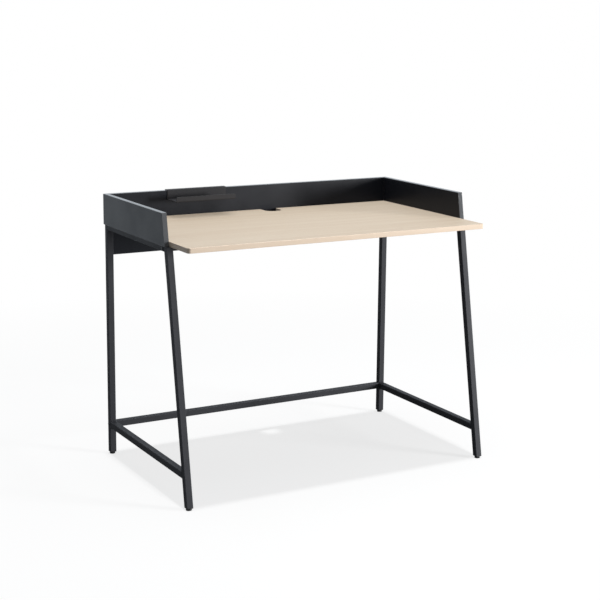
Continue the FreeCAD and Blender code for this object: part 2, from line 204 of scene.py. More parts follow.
class DeskFittingSizes(bpy.types.PropertyGroup):
    """Sizes of the small fittings."""

    foot_bore: length_setting("Insert bore", "Radius of the bore that a foot's stem goes through", 0.0032)
    pad_rim: length_setting("Pad rim", "Width of the ring that a pad stands on", 0.0025)
    pad_hollow: length_setting("Pad hollow", "Depth of the hollow under a pad", 0.0008)
    pad_edge: length_setting("Pad edge", "Rounding of a pad's lower edges", 0.0006)
    pad_shoulder: length_setting("Pad shoulder", "Rounding of a pad's upper edge", 0.0013)
    thread_pitch: length_setting("Thread pitch", "Climb of a machine thread in one turn", 0.001)
    thread_depth: length_setting("Thread depth", "Depth of a machine thread", 0.0004)
    wood_thread_pitch: length_setting("Wood thread pitch", "Climb of a wood thread in one turn", 0.0022)
    wood_thread_depth: length_setting("Wood thread depth", "Depth of a wood screw's thread", 0.0007)
    screw_recess: length_setting("Screw recess", "Depth of the cross recess in a screw's head", 0.0016)
    tab_screw_shank: length_setting("Tab screw shank", "Radius of a screw under the desktop", 0.002)
    tab_screw_head: length_setting("Tab screw head", "Height of a screw's head under the desktop", 0.0025)
    tab_screw_dome: length_setting("Tab screw dome", "Rounding of a screw's head under the desktop", 0.0013)
    back_screw_shank: length_setting("Back screw shank", "Radius of a screw in the back board", 0.0025)
    back_screw_head: length_setting("Back screw head", "Height of a screw's head in the back board", 0.003)
    back_screw_dome: length_setting("Back screw edge", "Rounding of a screw's head in the back board", 0.0003)
    bolt_head: length_setting("Bolt head", "Height of the heads of the cross tubes' bolts", 0.0025)
    bolt_dome: length_setting("Bolt dome", "Rounding of the heads of the cross tubes' bolts", 0.002)
    bolt_socket: length_setting("Bolt socket", "Half the width of the socket in a bolt's head", 0.0017)
    socket_depth: length_setting("Socket depth", "Depth of the socket in a bolt's head", 0.00175)
    bolt_shank: length_setting("Bolt shank", "Radius of the shanks of the cross tubes' bolts", 0.003)
    bolt_bite: length_setting("Bolt bite", "How far a bolt goes into a cross tube", 0.011)
    nut_length: length_setting("Nut length", "Length of the nut in each end of a cross tube", 0.014)
    cam_radius: length_setting("Cam radius", "Radius of a cam disc", 0.0075)
    cam_edge: length_setting("Cam edge", "Slope round a cam disc's rims", 0.0004)
    cam_recess: length_setting("Cam recess", "Depth of the cross recess in a cam disc", 0.0036)
    cam_bolt_shank: length_setting("Cam bolt shank", "Radius of a cam bolt's thread", 0.0025)
    cam_bolt_neck: length_setting("Cam bolt neck", "Radius of a cam bolt between thread and head", 0.0018)
    cam_bolt_head: length_setting("Cam bolt head", "Length of a cam bolt's head and of its collar", 0.0025)
    dowel_length: length_setting("Dowel length", "Length of a dowel", 0.030)
    dowel_chamfer: length_setting("Dowel chamfer", "Slope at the ends of a dowel", 0.0008)
    flute_depth: length_setting("Dowel flute", "Depth of the flutes along a dowel", 0.0003)


class DeskTraySizes(bpy.types.PropertyGroup):
    """Sizes of the folded tray that the frame doesn't give."""

    sheet: length_setting("Sheet", "Thickness of the tray's sheet", 0.002)
    bend: length_setting("Bend", "Radius of the folds, inside", 0.0008)
    corner: length_setting("Corner", "Radius of the sheet's four corners", 0.004)
    edge: length_setting("Cut edge", "Rounding of the sheet's cut edges", 0.0004)
    hook_drop: length_setting("Hook", "Height of the hook behind the back board", 0.018)
    lip: length_setting("Lip", "Height of the tray's front lip", 0.016)
    hook_play: length_setting("Hook play", "Gap between the tray and the back board", 0.0005)


class DeskColours(bpy.types.PropertyGroup):
    """Colours of the finishes."""

    oak_light: colour_setting("Oak, light", "Light wood of the oak top", (0.640, 0.545, 0.430))
    oak_dark: colour_setting("Oak, dark", "Darker figure of the oak top", (0.580, 0.472, 0.358))
    oak_pore: colour_setting("Oak pores", "Open pores of the oak top", (0.400, 0.290, 0.185))
    edge_light: colour_setting("Oak edge, light", "Light wood of the oak edge band", (0.755, 0.628, 0.507))
    edge_dark: colour_setting("Oak edge, dark", "Darker lines of the oak edge band", (0.688, 0.551, 0.425))
    board_black: colour_setting("Black board", "Faces of the black boards", (0.0085, 0.0096, 0.0136))
    band_black: colour_setting("Black edge band", "Edges of the black boards", (0.065, 0.066, 0.070))
    frame_black: colour_setting("Frame coat", "Powder coat of the steel frame", (0.053, 0.054, 0.060))
    tray_black: colour_setting("Tray coat", "Coat of the folded tray", (0.026, 0.025, 0.027))
    zinc: colour_setting("Zinc", "Plating of the screws and cams", (0.600, 0.595, 0.570))
    black_steel: colour_setting("Black steel", "Blackened bolts of the cross tubes", (0.030, 0.030, 0.032))
    plastic_black: colour_setting("Black plastic", "Pads and inserts of the feet", (0.014, 0.014, 0.015))
    beech: colour_setting("Beech", "Dowels", (0.560, 0.390, 0.235))


class DeskStage(bpy.types.PropertyGroup):
    """The floor, the lights and the camera."""

    floor_radius: length_setting("Floor", "Radius of the pale floor", 60.0)
    shadow_radius: length_setting("Shadow floor", "Radius inside which the floor takes shadows", 1.3)
    floor_colour: colour_setting("Floor colour", "Colour of the pale floor", (0.95, 0.95, 0.95))
    floor_bounce: colour_setting("Floor bounce", "Colour of what the floor throws back", (0.14, 0.14, 0.14))
    floor_glow: plain_setting("Floor glow", "Share of the floor that shows plain white", 0.74)
    mirror_glow: plain_setting("Mirrored floor", "Share of white in the near floor's reflections", 0.1)
    sky_light: plain_setting("Sky", "Even light from all round", 0.17)
    sky_colour: colour_setting("Sky colour", "Colour of the light from all round", (0.86, 0.93, 1.00))
    sun_light: plain_setting("Overhead light", "Light from straight above", 1.7)
    sun_angle: angle_setting("Overhead angle", "How large the overhead light looks", math.radians(3.0))
    soft_light: plain_setting("Soft light", "Power of the large soft light above", 15.0)
    soft_size: length_setting("Soft light size", "Width of the large soft light above", 2.0)
    soft_height: length_setting("Soft light height", "Height of the large soft light above", 2.6)
    key_light: plain_setting("Key light", "Power of the soft light at the front right", 390.0)
    matt_key_light: plain_setting("Matt key light", "Power of the front light where it isn't mirrored", 480.0)
    key_size: length_setting("Key size", "Width of the soft light at the front right", 1.5)
    key_x: place_setting("Key across", "Place of the front light along X", 4.2)
    key_y: place_setting("Key back", "Place of the front light along Y", -4.3)
    key_z: place_setting("Key height", "Height of the front light", 1.2)
    camera_x: place_setting("Camera across", "Camera's place along X", -2.0731)
    camera_y: place_setting("Camera back", "Camera's place along Y", -3.7110)
    camera_z: place_setting("Camera height", "Camera's height", 1.4087)
    camera_turn: angle_setting("Camera turn", "Turn of the camera to the right of +Y", 0.51225)
    camera_dip: angle_setting("Camera dip", "How far the camera looks down", 0.18399)
    camera_roll: angle_setting("Camera roll", "Turn of the camera about its own axis", 0.00969)
    camera_lens: plain_setting("Lens", "Focal length in millimetres", 83.787)
    camera_drop: place_setting("Camera shift", "Upright shift of the picture", -0.06)


# Outlines and profiles

def turned_arcs(corners, before, after, radii, steps):
    """Arcs that round corners, for all the corners at once.

    An arc begins its radius times the tangent of half the turn before its corner. Its normal, which points
    to the right of the path, turns evenly from one edge to the next, and each point is the beginning plus
    the radius times how far the normal has swung, taken away instead where the path turns right.
    Gives points, normals and a bump that is 0 at an arc's ends and 1 in its middle, the share of edge
    scuffing and painted edge highlight.
    """
    cross = before[:, 0] * after[:, 1] - before[:, 1] * after[:, 0]
    dot = (before * after).sum(axis=1)
    turn = np.arctan2(cross, dot)
    reach = radii * np.tan(np.abs(turn) / 2)
    start = corners - before * reach[:, None]
    first = np.arctan2(-before[:, 0], before[:, 1])
    share = np.linspace(0.0, 1.0, steps + 1)
    angle = first[:, None] + turn[:, None] * share
    normals = np.stack([np.cos(angle), np.sin(angle)], axis=-1)
    swing = (np.sign(turn) * radii)[:, None, None] * (normals - normals[:, :1])
    bump = np.broadcast_to(np.sin(np.pi * share), angle.shape)
    return start[:, None] + swing, normals, bump


def unit_rows(rows):
    """Each row scaled to length 1."""
    return rows / np.linalg.norm(rows, axis=1, keepdims=True)


def rounded_loop(corners, radii):
    """Closed outline through anticlockwise corners, each rounded by an arc: points, outward normals, and the
    share of edge scuffing and painted highlight.
    """
    corners = np.asarray(corners, float)
    radii = np.broadcast_to(np.asarray(radii, float), len(corners))
    before = unit_rows(corners - np.roll(corners, 1, axis=0))
    after = np.roll(before, -1, axis=0)
    points, normals, bump = turned_arcs(corners, before, after, radii, ARC_STEPS)
    return points.reshape(-1, 2), normals.reshape(-1, 2), bump.reshape(-1)


def rectangle_loop(low, high, radius):
    """Closed outline of a rectangle between two corners, rounded at all four."""
    corners = [(low[0], low[1]), (high[0], low[1]), (high[0], high[1]), (low[0], high[1])]
    return rounded_loop(corners, radius)


def bent_path(points, radii, steps):
    """Arcs at the bends of an open path through points: their points, normals and share of edge scuffing and
    painted highlight.
    """
    points = np.asarray(points, float)
    runs = unit_rows(np.diff(points, axis=0))
    radii = np.broadcast_to(np.asarray(radii, float), len(points) - 2)
    arcs, normals, bump = turned_arcs(points[1:-1], runs[:-1], runs[1:], radii, steps)
    return arcs.reshape(-1, 2), normals.reshape(-1, 2), bump.reshape(-1)


def turned_profile(corners, radii):
    """Profile of a turned shape, as radius and height, through corners that are rounded between its ends."""
    corners = np.asarray(corners, float)
    arcs, _, bump = bent_path(corners, radii, EDGE_STEPS)
    return np.vstack([corners[:1], arcs, corners[-1:]]), np.concatenate([[0.0], bump, [0.0]])


def edge_profile(low, high, radius):
    """Profile of a board's edge from its lower face up: a quarter circle, the flat edge, a quarter circle.

    Gives how far in each step is, how high, and its share of edge scuffing and painted highlight, which is
    most in the middle of each quarter circle.
    """
    angle = np.linspace(0.0, np.pi / 2, EDGE_STEPS + 1)
    inset = radius * np.concatenate([1 - np.sin(angle), 1 - np.cos(angle)])
    height = np.concatenate([low + radius * (1 - np.cos(angle)), high - radius * (1 - np.sin(angle))])
    wear = np.tile(np.sin(2 * angle), 2)
    return inset, height, wear


def running_length(points):
    """Distance along a path to each of its points."""
    steps = np.linalg.norm(np.diff(points, axis=0), axis=1)
    return np.concatenate([[0.0], np.cumsum(steps)])


# Meshes in the making

class Shell:
    """Points and faces of one mesh, with the share of edge scuffing and painted highlight at each point and
    the grain place of each face corner.
    """

    def __init__(self):
        self.points = []
        self.wear = []
        self.faces = []
        self.grain = []
        self.finish = []
        self.count = 0

    def add_points(self, points, wear=0.0):
        """Adds points and gives back their numbers in the same rows and columns."""
        shape = points.shape[:-1]
        total = int(np.prod(shape))
        self.points.append(points.reshape(total, 3))
        self.wear.append(np.broadcast_to(wear, shape).reshape(total))
        numbers = self.count + np.arange(total).reshape(shape)
        self.count += total
        return numbers

    def add_faces(self, corners, finish=0, grain=None):
        """Adds faces, one to a row of point numbers, with the same finish."""
        if grain is None:
            grain = np.zeros(corners.shape + (2,))
        self.faces += corners.tolist()
        self.grain.append(grain.reshape(-1, 2))
        self.finish += [finish] * len(corners)

    def mesh(self, name):
        """A mesh of the points and faces."""
        made = bpy.data.meshes.new(name)
        made.from_pydata(np.vstack(self.points).tolist(), [], self.faces)
        return made


def band_faces(numbers):
    """Four-sided faces between each ring of points and the next, closed round the ring."""
    ahead = np.roll(numbers, -1, axis=1)
    return np.stack([numbers[:-1], ahead[:-1], ahead[1:], numbers[1:]], axis=-1).reshape(-1, 4)


def add_loft(shell, rings, wear=0.0, joined=False):
    """Skin over a stack of closed rings, anticlockwise as seen from where the stack is going.

    Ring i and ring i + 1 are joined point by point. The first and last rings get flat ends, or are joined
    to each other, as in a tube with an inside.
    """
    numbers = shell.add_points(rings, wear)
    if joined:
        shell.add_faces(band_faces(np.vstack([numbers, numbers[:1]])))
        return
    shell.add_faces(band_faces(numbers))
    shell.add_faces(numbers[:1, ::-1])
    shell.add_faces(numbers[-1:])


def ring_angles(extra=()):
    """Even angles round a circle, with extra ones put in where an outline has corners."""
    even = np.arange(ROUND_STEPS) * 2 * np.pi / ROUND_STEPS
    return np.unique(np.round(np.concatenate([even, np.mod(extra, 2 * np.pi)]), ANGLE_DIGITS))


def polar_rings(radii, heights, angles):
    """Rings about the Z axis: radius times the cosine and sine of the angle, at a height."""
    heights = np.broadcast_to(np.asarray(heights, float)[:, None], radii.shape)
    return np.stack([radii * np.cos(angles), radii * np.sin(angles), heights], axis=-1)


def turned_rings(profile, angles):
    """Rings of a turned shape, from a profile of radius and height pairs."""
    profile = np.asarray(profile, float)
    radii = np.broadcast_to(profile[:, :1], (len(profile), len(angles)))
    return polar_rings(radii, profile[:, 1], angles)


def thread_rings(radius, depth, pitch, low, high, angles):
    """Rings of a screw thread: the radius less the depth times a zigzag that climbs one pitch in a turn."""
    heights = np.linspace(low, high, max(2, int((high - low) / pitch * THREAD_STEPS)))
    climb = np.mod(heights[:, None] / pitch - angles / (2 * np.pi), 1.0)
    radii = radius - depth * np.abs(2 * climb - 1)
    return polar_rings(radii, heights, angles)


def cross_corners(arm, half_width):
    """Angles of the twelve corners of an upright cross."""
    quarter = np.arange(4) * np.pi / 2
    tip = math.atan2(half_width, arm)
    return np.concatenate([quarter + tip, quarter - tip, quarter + np.pi / 4])


def cross_radius(angles, arm, half_width):
    """Radius of an upright cross at each angle: the further out of its two bars, each a rectangle."""
    across = np.maximum(np.abs(np.cos(angles)), NEARLY_NONE)
    up = np.maximum(np.abs(np.sin(angles)), NEARLY_NONE)
    level_bar = np.minimum(arm / across, half_width / up)
    upright_bar = np.minimum(half_width / across, arm / up)
    return np.maximum(level_bar, upright_bar)


def hexagon_radius(angles, flat):
    """Radius of a hexagon at each angle: half its width over the cosine of the angle from a flat."""
    sixth = np.pi / 3
    return flat / np.cos(np.mod(angles, sixth) - sixth / 2)


def recess_rings(outline, top, depth, angles):
    """Rings of a driver's recess: its outline at the top of the head, and the same drawn in at the bottom."""
    radii = np.stack([outline, RECESS_TAPER * outline])
    return polar_rings(radii, [top, top - depth], angles)


def cross_recess(head_radius, top, depth):
    """Angles round a head, with the corners of its cross recess put in, and the rings of that recess."""
    arm = CROSS_ARM * head_radius
    half_width = CROSS_BAR * head_radius
    angles = ring_angles(cross_corners(arm, half_width))
    return angles, recess_rings(cross_radius(angles, arm, half_width), top, depth, angles)


def domed_head(radius, top, dome):
    """Profile of a head from its seat at 0: an upright rim, and a quarter circle in to the flat top."""
    angle = np.linspace(0.0, np.pi / 2, ARC_STEPS + 1)
    curve = np.column_stack([radius - dome * (1 - np.cos(angle)), top - dome * (1 - np.sin(angle))])
    return np.vstack([[(radius, 0.0)], curve])


def standing_at(rings, origin, axis):
    """Rings made about the Z axis, stood at a point with Z along an axis and no mirroring."""
    across = ALONG_Y if abs(axis[0]) > 0.5 else ALONG_X
    turned = np.cross(axis, across)
    return np.asarray(origin) + rings @ np.stack([across, turned, axis])


def at_height(flat, height):
    """Flat points as points in space at a height."""
    return np.column_stack([flat, np.full(len(flat), height)])


def add_pocket(shell, centre, radius, depth, height, axes):
    """Round pocket in a board's lower face: a ring in the face, a wall up from it, and a flat end.

    Gives the ring in the face and the numbers of its points.
    """
    angles = ring_angles()[::-1]
    ring = np.asarray(centre) + radius * np.stack([np.cos(angles), np.sin(angles)], axis=-1)
    rings = np.stack([at_height(ring, height), at_height(ring, height + depth)])
    numbers = shell.add_points(rings @ axes)
    shell.add_faces(band_faces(numbers))
    shell.add_faces(numbers[-1:])
    return ring, numbers[0]


def add_board_face(shell, rim, rim_numbers, height, axes, upward, pockets=()):
    """Flat face of a board inside its rim, filled with triangles round its pockets, with grain along it."""
    loops = [rim]
    numbers = [rim_numbers]
    for centre, radius, depth in pockets:
        ring, ring_numbers = add_pocket(shell, centre, radius, depth, height, axes)
        loops.append(ring)
        numbers.append(ring_numbers)
    flat = np.vstack(loops)
    outlines = [at_height(loop, 0.0).tolist() for loop in loops]
    triangles = np.array(tessellate_polygon(outlines))
    first, second, third = flat[triangles].transpose(1, 0, 2)
    area = (second - first)[:, 0] * (third - first)[:, 1] - (second - first)[:, 1] * (third - first)[:, 0]
    wrong = (area > 0) != upward
    triangles[wrong] = triangles[wrong][:, ::-1]
    shell.add_faces(np.concatenate(numbers)[triangles], grain=flat[triangles])


def add_board(shell, outline, low, high, axes, edge_round, pockets=()):
    """Board: its edge profile carried round its outline, closed by a flat face on each side.

    A point of the edge is the outline's point less the profile's inset along the outline's normal, at the
    profile's height. Faces are finish 0 and the edge band finish 1, whose grain runs along the outline.
    Pockets are let into the lower face.
    """
    points, normals, bend = outline
    insets, heights, wear = edge_profile(low, high, edge_round)
    flat = points - insets[:, None, None] * normals
    level = np.broadcast_to(heights[:, None, None], flat.shape[:2] + (1,))
    upright_wear_and_highlight = np.where(insets[:, None] > 0, 0.0, bend)
    rings = np.concatenate([flat, level], axis=-1)
    numbers = shell.add_points(rings @ axes, np.maximum(wear[:, None], upright_wear_and_highlight))
    along = running_length(np.vstack([points, points[:1]]))
    across = running_length(np.column_stack([insets, heights]))
    place = np.stack(np.meshgrid(along, across), axis=-1)
    corners = np.stack([place[:-1, :-1], place[:-1, 1:], place[1:, 1:], place[1:, :-1]], axis=-2)
    shell.add_faces(band_faces(numbers), finish=1, grain=corners)
    add_board_face(shell, flat[0], numbers[0], low, axes, False, pockets)
    add_board_face(shell, flat[-1], numbers[-1], high, axes, True)


def add_weld(shell, start, end, first, second, sizes):
    """Weld bead along an inside corner from start to end, reaching along two faces by the weld's leg.

    Across the bead the reach along each face is the square of a cosine or sine, bulged outwards. Along the
    bead it swells and sinks by a sine of the ripple's pitch, and closes like a quarter circle at each end.
    """
    run = end - start
    if np.dot(np.cross(first, second), run) < 0:
        first, second = second, first
    length = np.linalg.norm(run)
    share = np.linspace(0.0, 1.0, int(length / sizes.weld_pitch * WELD_STEPS))
    from_end = np.minimum(share, 1 - share) * length
    blunt = 1.0 / ROUND_STEPS
    closing = np.sqrt(1 - (1 - np.clip(from_end / sizes.weld_leg, blunt, 1.0)) ** 2)
    ripple = 1 + sizes.weld_ripple * np.sin(2 * np.pi * share * length / sizes.weld_pitch)
    reach = sizes.weld_leg * closing * ripple
    angle = np.linspace(0.0, np.pi / 2, WELD_STEPS + 1)
    bulge = sizes.weld_bulge * np.sin(2 * angle)
    along_first = np.concatenate([[0.0], np.cos(angle) ** 2 + bulge])
    along_second = np.concatenate([[0.0], np.sin(angle) ** 2 + bulge])
    sunk = sizes.weld_sink * sizes.weld_leg
    corner = start + share[:, None] * run - sunk * (first + second)
    section = along_first[:, None] * first + along_second[:, None] * second
    add_loft(shell, corner[:, None] + reach[:, None, None] * section)


def add_object(name, data):
    """An object that shows a mesh, a light or a camera, put into the scene."""
    made = bpy.data.objects.new(name, data)
    bpy.context.scene.collection.objects.link(made)
    return made


def make_piece(shell, name, paints, nodes=(), body="desk"):
    """Puts a finished shell into the scene: a piece that rides on a body in place of nodes of the frame."""
    mesh = shell.mesh(name)
    mesh.polygons.foreach_set("use_smooth", np.ones(len(shell.faces), dtype=bool))
    mesh.polygons.foreach_set("material_index", np.array(shell.finish, dtype=np.int32))
    grain = mesh.uv_layers.new(name="grain")
    grain.data.foreach_set("uv", np.vstack(shell.grain).ravel())
    # Share of edge scuffing and painted edge highlight at each point, which the coats make paler
    wear = mesh.attributes.new("wear", "FLOAT", "POINT")
    wear.data.foreach_set("value", np.concatenate(shell.wear).astype(np.float32))
    mesh.set_sharp_from_angle(angle=SHARP_ANGLE)
    for paint in paints:
        mesh.materials.append(finish(paint))
    piece = add_object(name, mesh)
    flats = piece.modifiers.new("flat faces", "WEIGHTED_NORMAL")
    flats.keep_sharp = True
    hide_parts(*nodes)
    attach(piece, body)


# Shader parts

# Sockets of a colour mix by number, because its mixes of other kinds have sockets of the same names
MIX_SHARE = 0
MIX_FIRST = 6
MIX_SECOND = 7
MIX_RESULT = 2

# Where most values of cloudy noise lie
NOISE_RANGE = (0.3, 0.7)


def set_inputs(tree, node, inputs):
    """Sets each input of a shader node to a value, or links it to another node's output."""
    for name, value in inputs.items():
        if isinstance(value, bpy.types.NodeSocket):
            tree.links.new(value, node.inputs[name])
        else:
            node.inputs[name].default_value = value


def put(tree, kind, inputs, **settings):
    """A shader node with its settings and inputs."""
    node = tree.nodes.new(kind)
    for name, value in settings.items():
        setattr(node, name, value)
    set_inputs(tree, node, inputs)
    return node


def object_place(tree):
    """Place on the piece in its own metres."""
    return put(tree, "ShaderNodeTexCoord", {}).outputs["Object"]


def grain_place(tree):
    """Place along and across the wood's grain, in metres."""
    return put(tree, "ShaderNodeUVMap", {}, uv_map="grain").outputs["UV"]


def stretched(tree, place, scale):
    """A place scaled differently along each direction."""
    return put(tree, "ShaderNodeMapping", {"Vector": place, "Scale": scale}).outputs["Vector"]


def speckle(tree, place, scale, detail=2.0, roughness=0.5):
    """Cloudy noise between 0 and 1."""
    inputs = {"Vector": place, "Scale": scale, "Detail": detail, "Roughness": roughness}
    return put(tree, "ShaderNodeTexNoise", inputs).outputs[0]


def drawn_out(tree, place, scales, detail, roughness=0.5):
    """Cloudy noise with a scale of its own along each direction."""
    return speckle(tree, stretched(tree, place, scales), 1.0, detail, roughness)


def between(tree, value, low, high, out_low=0.0, out_high=1.0):
    """A value's range stretched onto another range."""
    inputs = {"Value": value, "From Min": low, "From Max": high, "To Min": out_low, "To Max": out_high}
    return put(tree, "ShaderNodeMapRange", inputs, clamp=True).outputs[0]


def spread(tree, noise, low=0.0, high=1.0):
    """Cloudy noise stretched onto a range."""
    return between(tree, noise, *NOISE_RANGE, low, high)


def blended(tree, share, first, second):
    """One colour mixed into another by a share."""
    inputs = {MIX_SHARE: share, MIX_FIRST: first, MIX_SECOND: second}
    return put(tree, "ShaderNodeMix", inputs, data_type="RGBA").outputs[MIX_RESULT]


def calculated(tree, operation, first, second):
    """One value worked out from two."""
    return put(tree, "ShaderNodeMath", {0: first, 1: second}, operation=operation).outputs[0]


def mixed_tone(tree, first, second, share):
    """Two tones added together, the first by its share and the second by the rest."""
    scaled = calculated(tree, "MULTIPLY", second, 1.0 - share)
    return put(tree, "ShaderNodeMath", {0: first, 1: share, 2: scaled}, operation="MULTIPLY_ADD").outputs[0]


def raised(tree, height, depth, strength=1.0):
    """Surface normal of a fine relief of a height in metres."""
    inputs = {"Height": height, "Distance": depth, "Strength": strength}
    return put(tree, "ShaderNodeBump", inputs).outputs["Normal"]


def shade(colour, factor=1.0):
    """A colour setting made lighter or darker, with full cover."""
    return tuple(min(1.0, part * factor) for part in colour) + (1.0,)


def finish(paint):
    """The material of a finish, made the first time that it is asked for."""
    name = paint.__name__
    made = bpy.data.materials.get(name)
    if made is None:
        made = bpy.data.materials.new(name)
        made.use_nodes = True
        paint(made.node_tree, made.node_tree.nodes["Principled BSDF"], bpy.context.scene.desk_colours)
    return made


# Finishes

# How many times in a metre a pattern comes round, along each direction where they differ
OAK_DRIFT = (1.6, 5.0, 1.0)
OAK_BANDS = (1.3, 30.0, 1.0)
OAK_FIBRES = (16.0, 620.0, 1.0)
OAK_PORES = (85.0, 1700.0, 1.0)
COAT_CLOUDS = 9.0
COAT_PATCHES = 160.0
ZINC_CLOUDS = 420.0
ZINC_SCRATCHES = (3200.0, 260.0, 3200.0)
BEECH_BANDS = (30.0, 260.0, 260.0)
BEECH_FLECKS = (140.0, 1600.0, 1600.0)

# How far the oak's figure wanders across its grain, in metres
OAK_WANDER = (0.0, 0.030, 0.0)

# Noise from where to where fibres, pores, flecks and the tones of a coat come to show
FIBRES_SHOW = (0.45, 0.75)
PORES_SHOW = (0.60, 0.72)
FLECKS_SHOW = (0.56, 0.70)
COAT_SHOWS = (0.35, 0.65)

# How much of their colour fibres, pores and flecks show at most
FIBRE_SHARE = 0.35
PORE_SHARE = 0.40
FLECK_SHARE = 0.45

# Darkest and lightest tone of a finish as shares of its colour, and the tones of flecks and edge pores
COAT_TONES = (0.86, 1.14)
ZINC_TONES = (0.78, 1.15)
BEECH_TONES = (0.84, 1.12)
FLECK_TONE = 0.5
EDGE_PORE_TONE = 1.6

# Share of a coat's tone that its fine grain gives, and of the zinc's that its clouds give
GRAIN_SHARE = 0.6
CLOUD_SHARE = 0.7

# Least and most roughness of zinc and beech
ZINC_ROUGHNESS = (0.26, 0.42)
BEECH_ROUGHNESS = (0.58, 0.70)

# How far roughness changes over an oak surface, and to either side of a coat's own
OAK_ROUGH_RANGE = 0.10
COAT_ROUGH_RANGE = 0.05

# Paler edges of a coat, partly scuffing and partly a painted highlight: how much shows at least, how much
# lighter it is, and how much smoother
WORN_AND_HIGHLIT_LEAST = 0.15
WORN_AND_HIGHLIT_LIGHTER = 2.6
RUBBED_SMOOTHER = 0.12


def oak_figure(tree, light, dark, pore):
    """Oak: broad bands, fine fibres and open pores, all drawn out along the grain.

    Gives the colour, the tone of the fibres, and the height of the fibres less that of the pores.
    """
    place = grain_place(tree)
    drift = put(tree, "ShaderNodeTexNoise", {"Vector": stretched(tree, place, OAK_DRIFT), "Scale": 1.0})
    inputs = {0: drift.outputs["Color"], 1: OAK_WANDER, 2: place}
    wandering = put(tree, "ShaderNodeVectorMath", inputs, operation="MULTIPLY_ADD").outputs[0]
    bands = drawn_out(tree, wandering, OAK_BANDS, detail=5.0, roughness=0.55)
    fibres = drawn_out(tree, wandering, OAK_FIBRES, detail=3.0, roughness=0.6)
    pores = between(tree, drawn_out(tree, wandering, OAK_PORES, detail=1.0), *PORES_SHOW)
    wood = blended(tree, spread(tree, bands), dark, light)
    streaked = blended(tree, between(tree, fibres, *FIBRES_SHOW, 0.0, FIBRE_SHARE), wood, dark)
    colour = blended(tree, calculated(tree, "MULTIPLY", pores, PORE_SHARE), streaked, pore)
    return colour, fibres, calculated(tree, "SUBTRACT", fibres, pores)


def oak(tree, shader, light, dark, pore, rough, relief, strength):
    """Oak in three colours, with its least roughness, and the height and strength of its relief."""
    colour, fibres, height = oak_figure(tree, light, dark, pore)
    inputs = {
        "Base Color": colour,
        "Roughness": spread(tree, fibres, rough, rough + OAK_ROUGH_RANGE),
        "Normal": raised(tree, height, relief, strength),
    }
    set_inputs(tree, shader, inputs)


def oak_face(tree, shader, colours):
    """Oiled oak of the top's faces."""
    light, dark, pore = shade(colours.oak_light), shade(colours.oak_dark), shade(colours.oak_pore)
    oak(tree, shader, light, dark, pore, rough=0.50, relief=0.00006, strength=0.2)
    set_inputs(tree, shader, {"Specular IOR Level": 0.3})


def oak_edge(tree, shader, colours):
    """Oak edge band, lighter and finer than the face, its grain along the edge."""
    light, dark = shade(colours.edge_light), shade(colours.edge_dark)
    pore = shade(colours.oak_pore, EDGE_PORE_TONE)
    oak(tree, shader, light, dark, pore, rough=0.42, relief=0.00008, strength=0.3)


def coat(tree, shader, colour, grains, relief, rough, sheen, worn_and_highlit):
    """Dark coat: fine relief, slow changes of gloss, and a paler, smoother line along rounded edges, partly
    scuffing and partly a painted highlight.

    grains is how many there are to a metre, relief their height in metres, rough the surface's roughness,
    sheen its share of the usual reflection, and the last argument how much of the paler edge line, part
    scuffing and part painted highlight, shows at most.
    """
    place = object_place(tree)
    fine = speckle(tree, place, grains, detail=3.0, roughness=0.55)
    slow = speckle(tree, place, COAT_CLOUDS, detail=3.0, roughness=0.6)
    patchy = speckle(tree, place, COAT_PATCHES, detail=4.0, roughness=0.65)
    tone = between(tree, mixed_tone(tree, fine, slow, GRAIN_SHARE), *COAT_SHOWS)
    dark, light = [shade(colour, share) for share in COAT_TONES]
    plain = blended(tree, tone, dark, light)
    # Share of edge scuffing and painted edge highlight, read from the mesh
    wear = put(tree, "ShaderNodeAttribute", {}, attribute_name="wear").outputs["Fac"]
    worn_and_highlit_edges = calculated(tree, "MULTIPLY", wear, between(tree, patchy, *COAT_SHOWS, WORN_AND_HIGHLIT_LEAST, worn_and_highlit))
    smoother = calculated(tree, "MULTIPLY", worn_and_highlit_edges, RUBBED_SMOOTHER)
    roughness = spread(tree, slow, rough - COAT_ROUGH_RANGE, rough + COAT_ROUGH_RANGE)
    # Base colour made paler along rounded edges: partly scuffing, partly a painted highlight
    inputs = {
        "Base Color": blended(tree, worn_and_highlit_edges, plain, shade(colour, WORN_AND_HIGHLIT_LIGHTER)),
        "Roughness": calculated(tree, "SUBTRACT", roughness, smoother),
        "Normal": raised(tree, fine, relief, strength=0.4),
        "Specular IOR Level": sheen,
    }
    set_inputs(tree, shader, inputs)


def black_board_face(tree, shader, colours):
    """Faces of the black boards: a satin print film with a fine pressed texture."""
    coat(tree, shader, colours.board_black, grains=1300.0, relief=0.00008, rough=0.34, sheen=0.14, worn_and_highlit=0.0)


def black_board_edge(tree, shader, colours):
    """Edge bands of the black boards, smoother than their faces."""
    coat(tree, shader, colours.band_black, grains=900.0, relief=0.000005, rough=0.20, sheen=0.5, worn_and_highlit=0.3)


def frame_coat(tree, shader, colours):
    """Satin powder coat of the steel tubes, with the slight ripple that it sets with."""
    coat(tree, shader, colours.frame_black, grains=750.0, relief=0.00016, rough=0.50, sheen=0.07, worn_and_highlit=0.5)


def tray_coat(tree, shader, colours):
    """Fine matt coat of the tray's sheet."""
    coat(tree, shader, colours.tray_black, grains=1500.0, relief=0.00010, rough=0.50, sheen=0.12, worn_and_highlit=0.6)


def black_steel(tree, shader, colours):
    """Blackened steel of the cross tubes' bolts."""
    coat(tree, shader, colours.black_steel, grains=2600.0, relief=0.00003, rough=0.38, sheen=0.3, worn_and_highlit=0.4)
    set_inputs(tree, shader, {"Metallic": 0.3})


def moulded_black(tree, shader, colours):
    """Moulded black plastic of the feet, with a spark-eroded grain."""
    coat(tree, shader, colours.plastic_black, grains=2200.0, relief=0.00006, rough=0.52, sheen=0.3, worn_and_highlit=0.4)


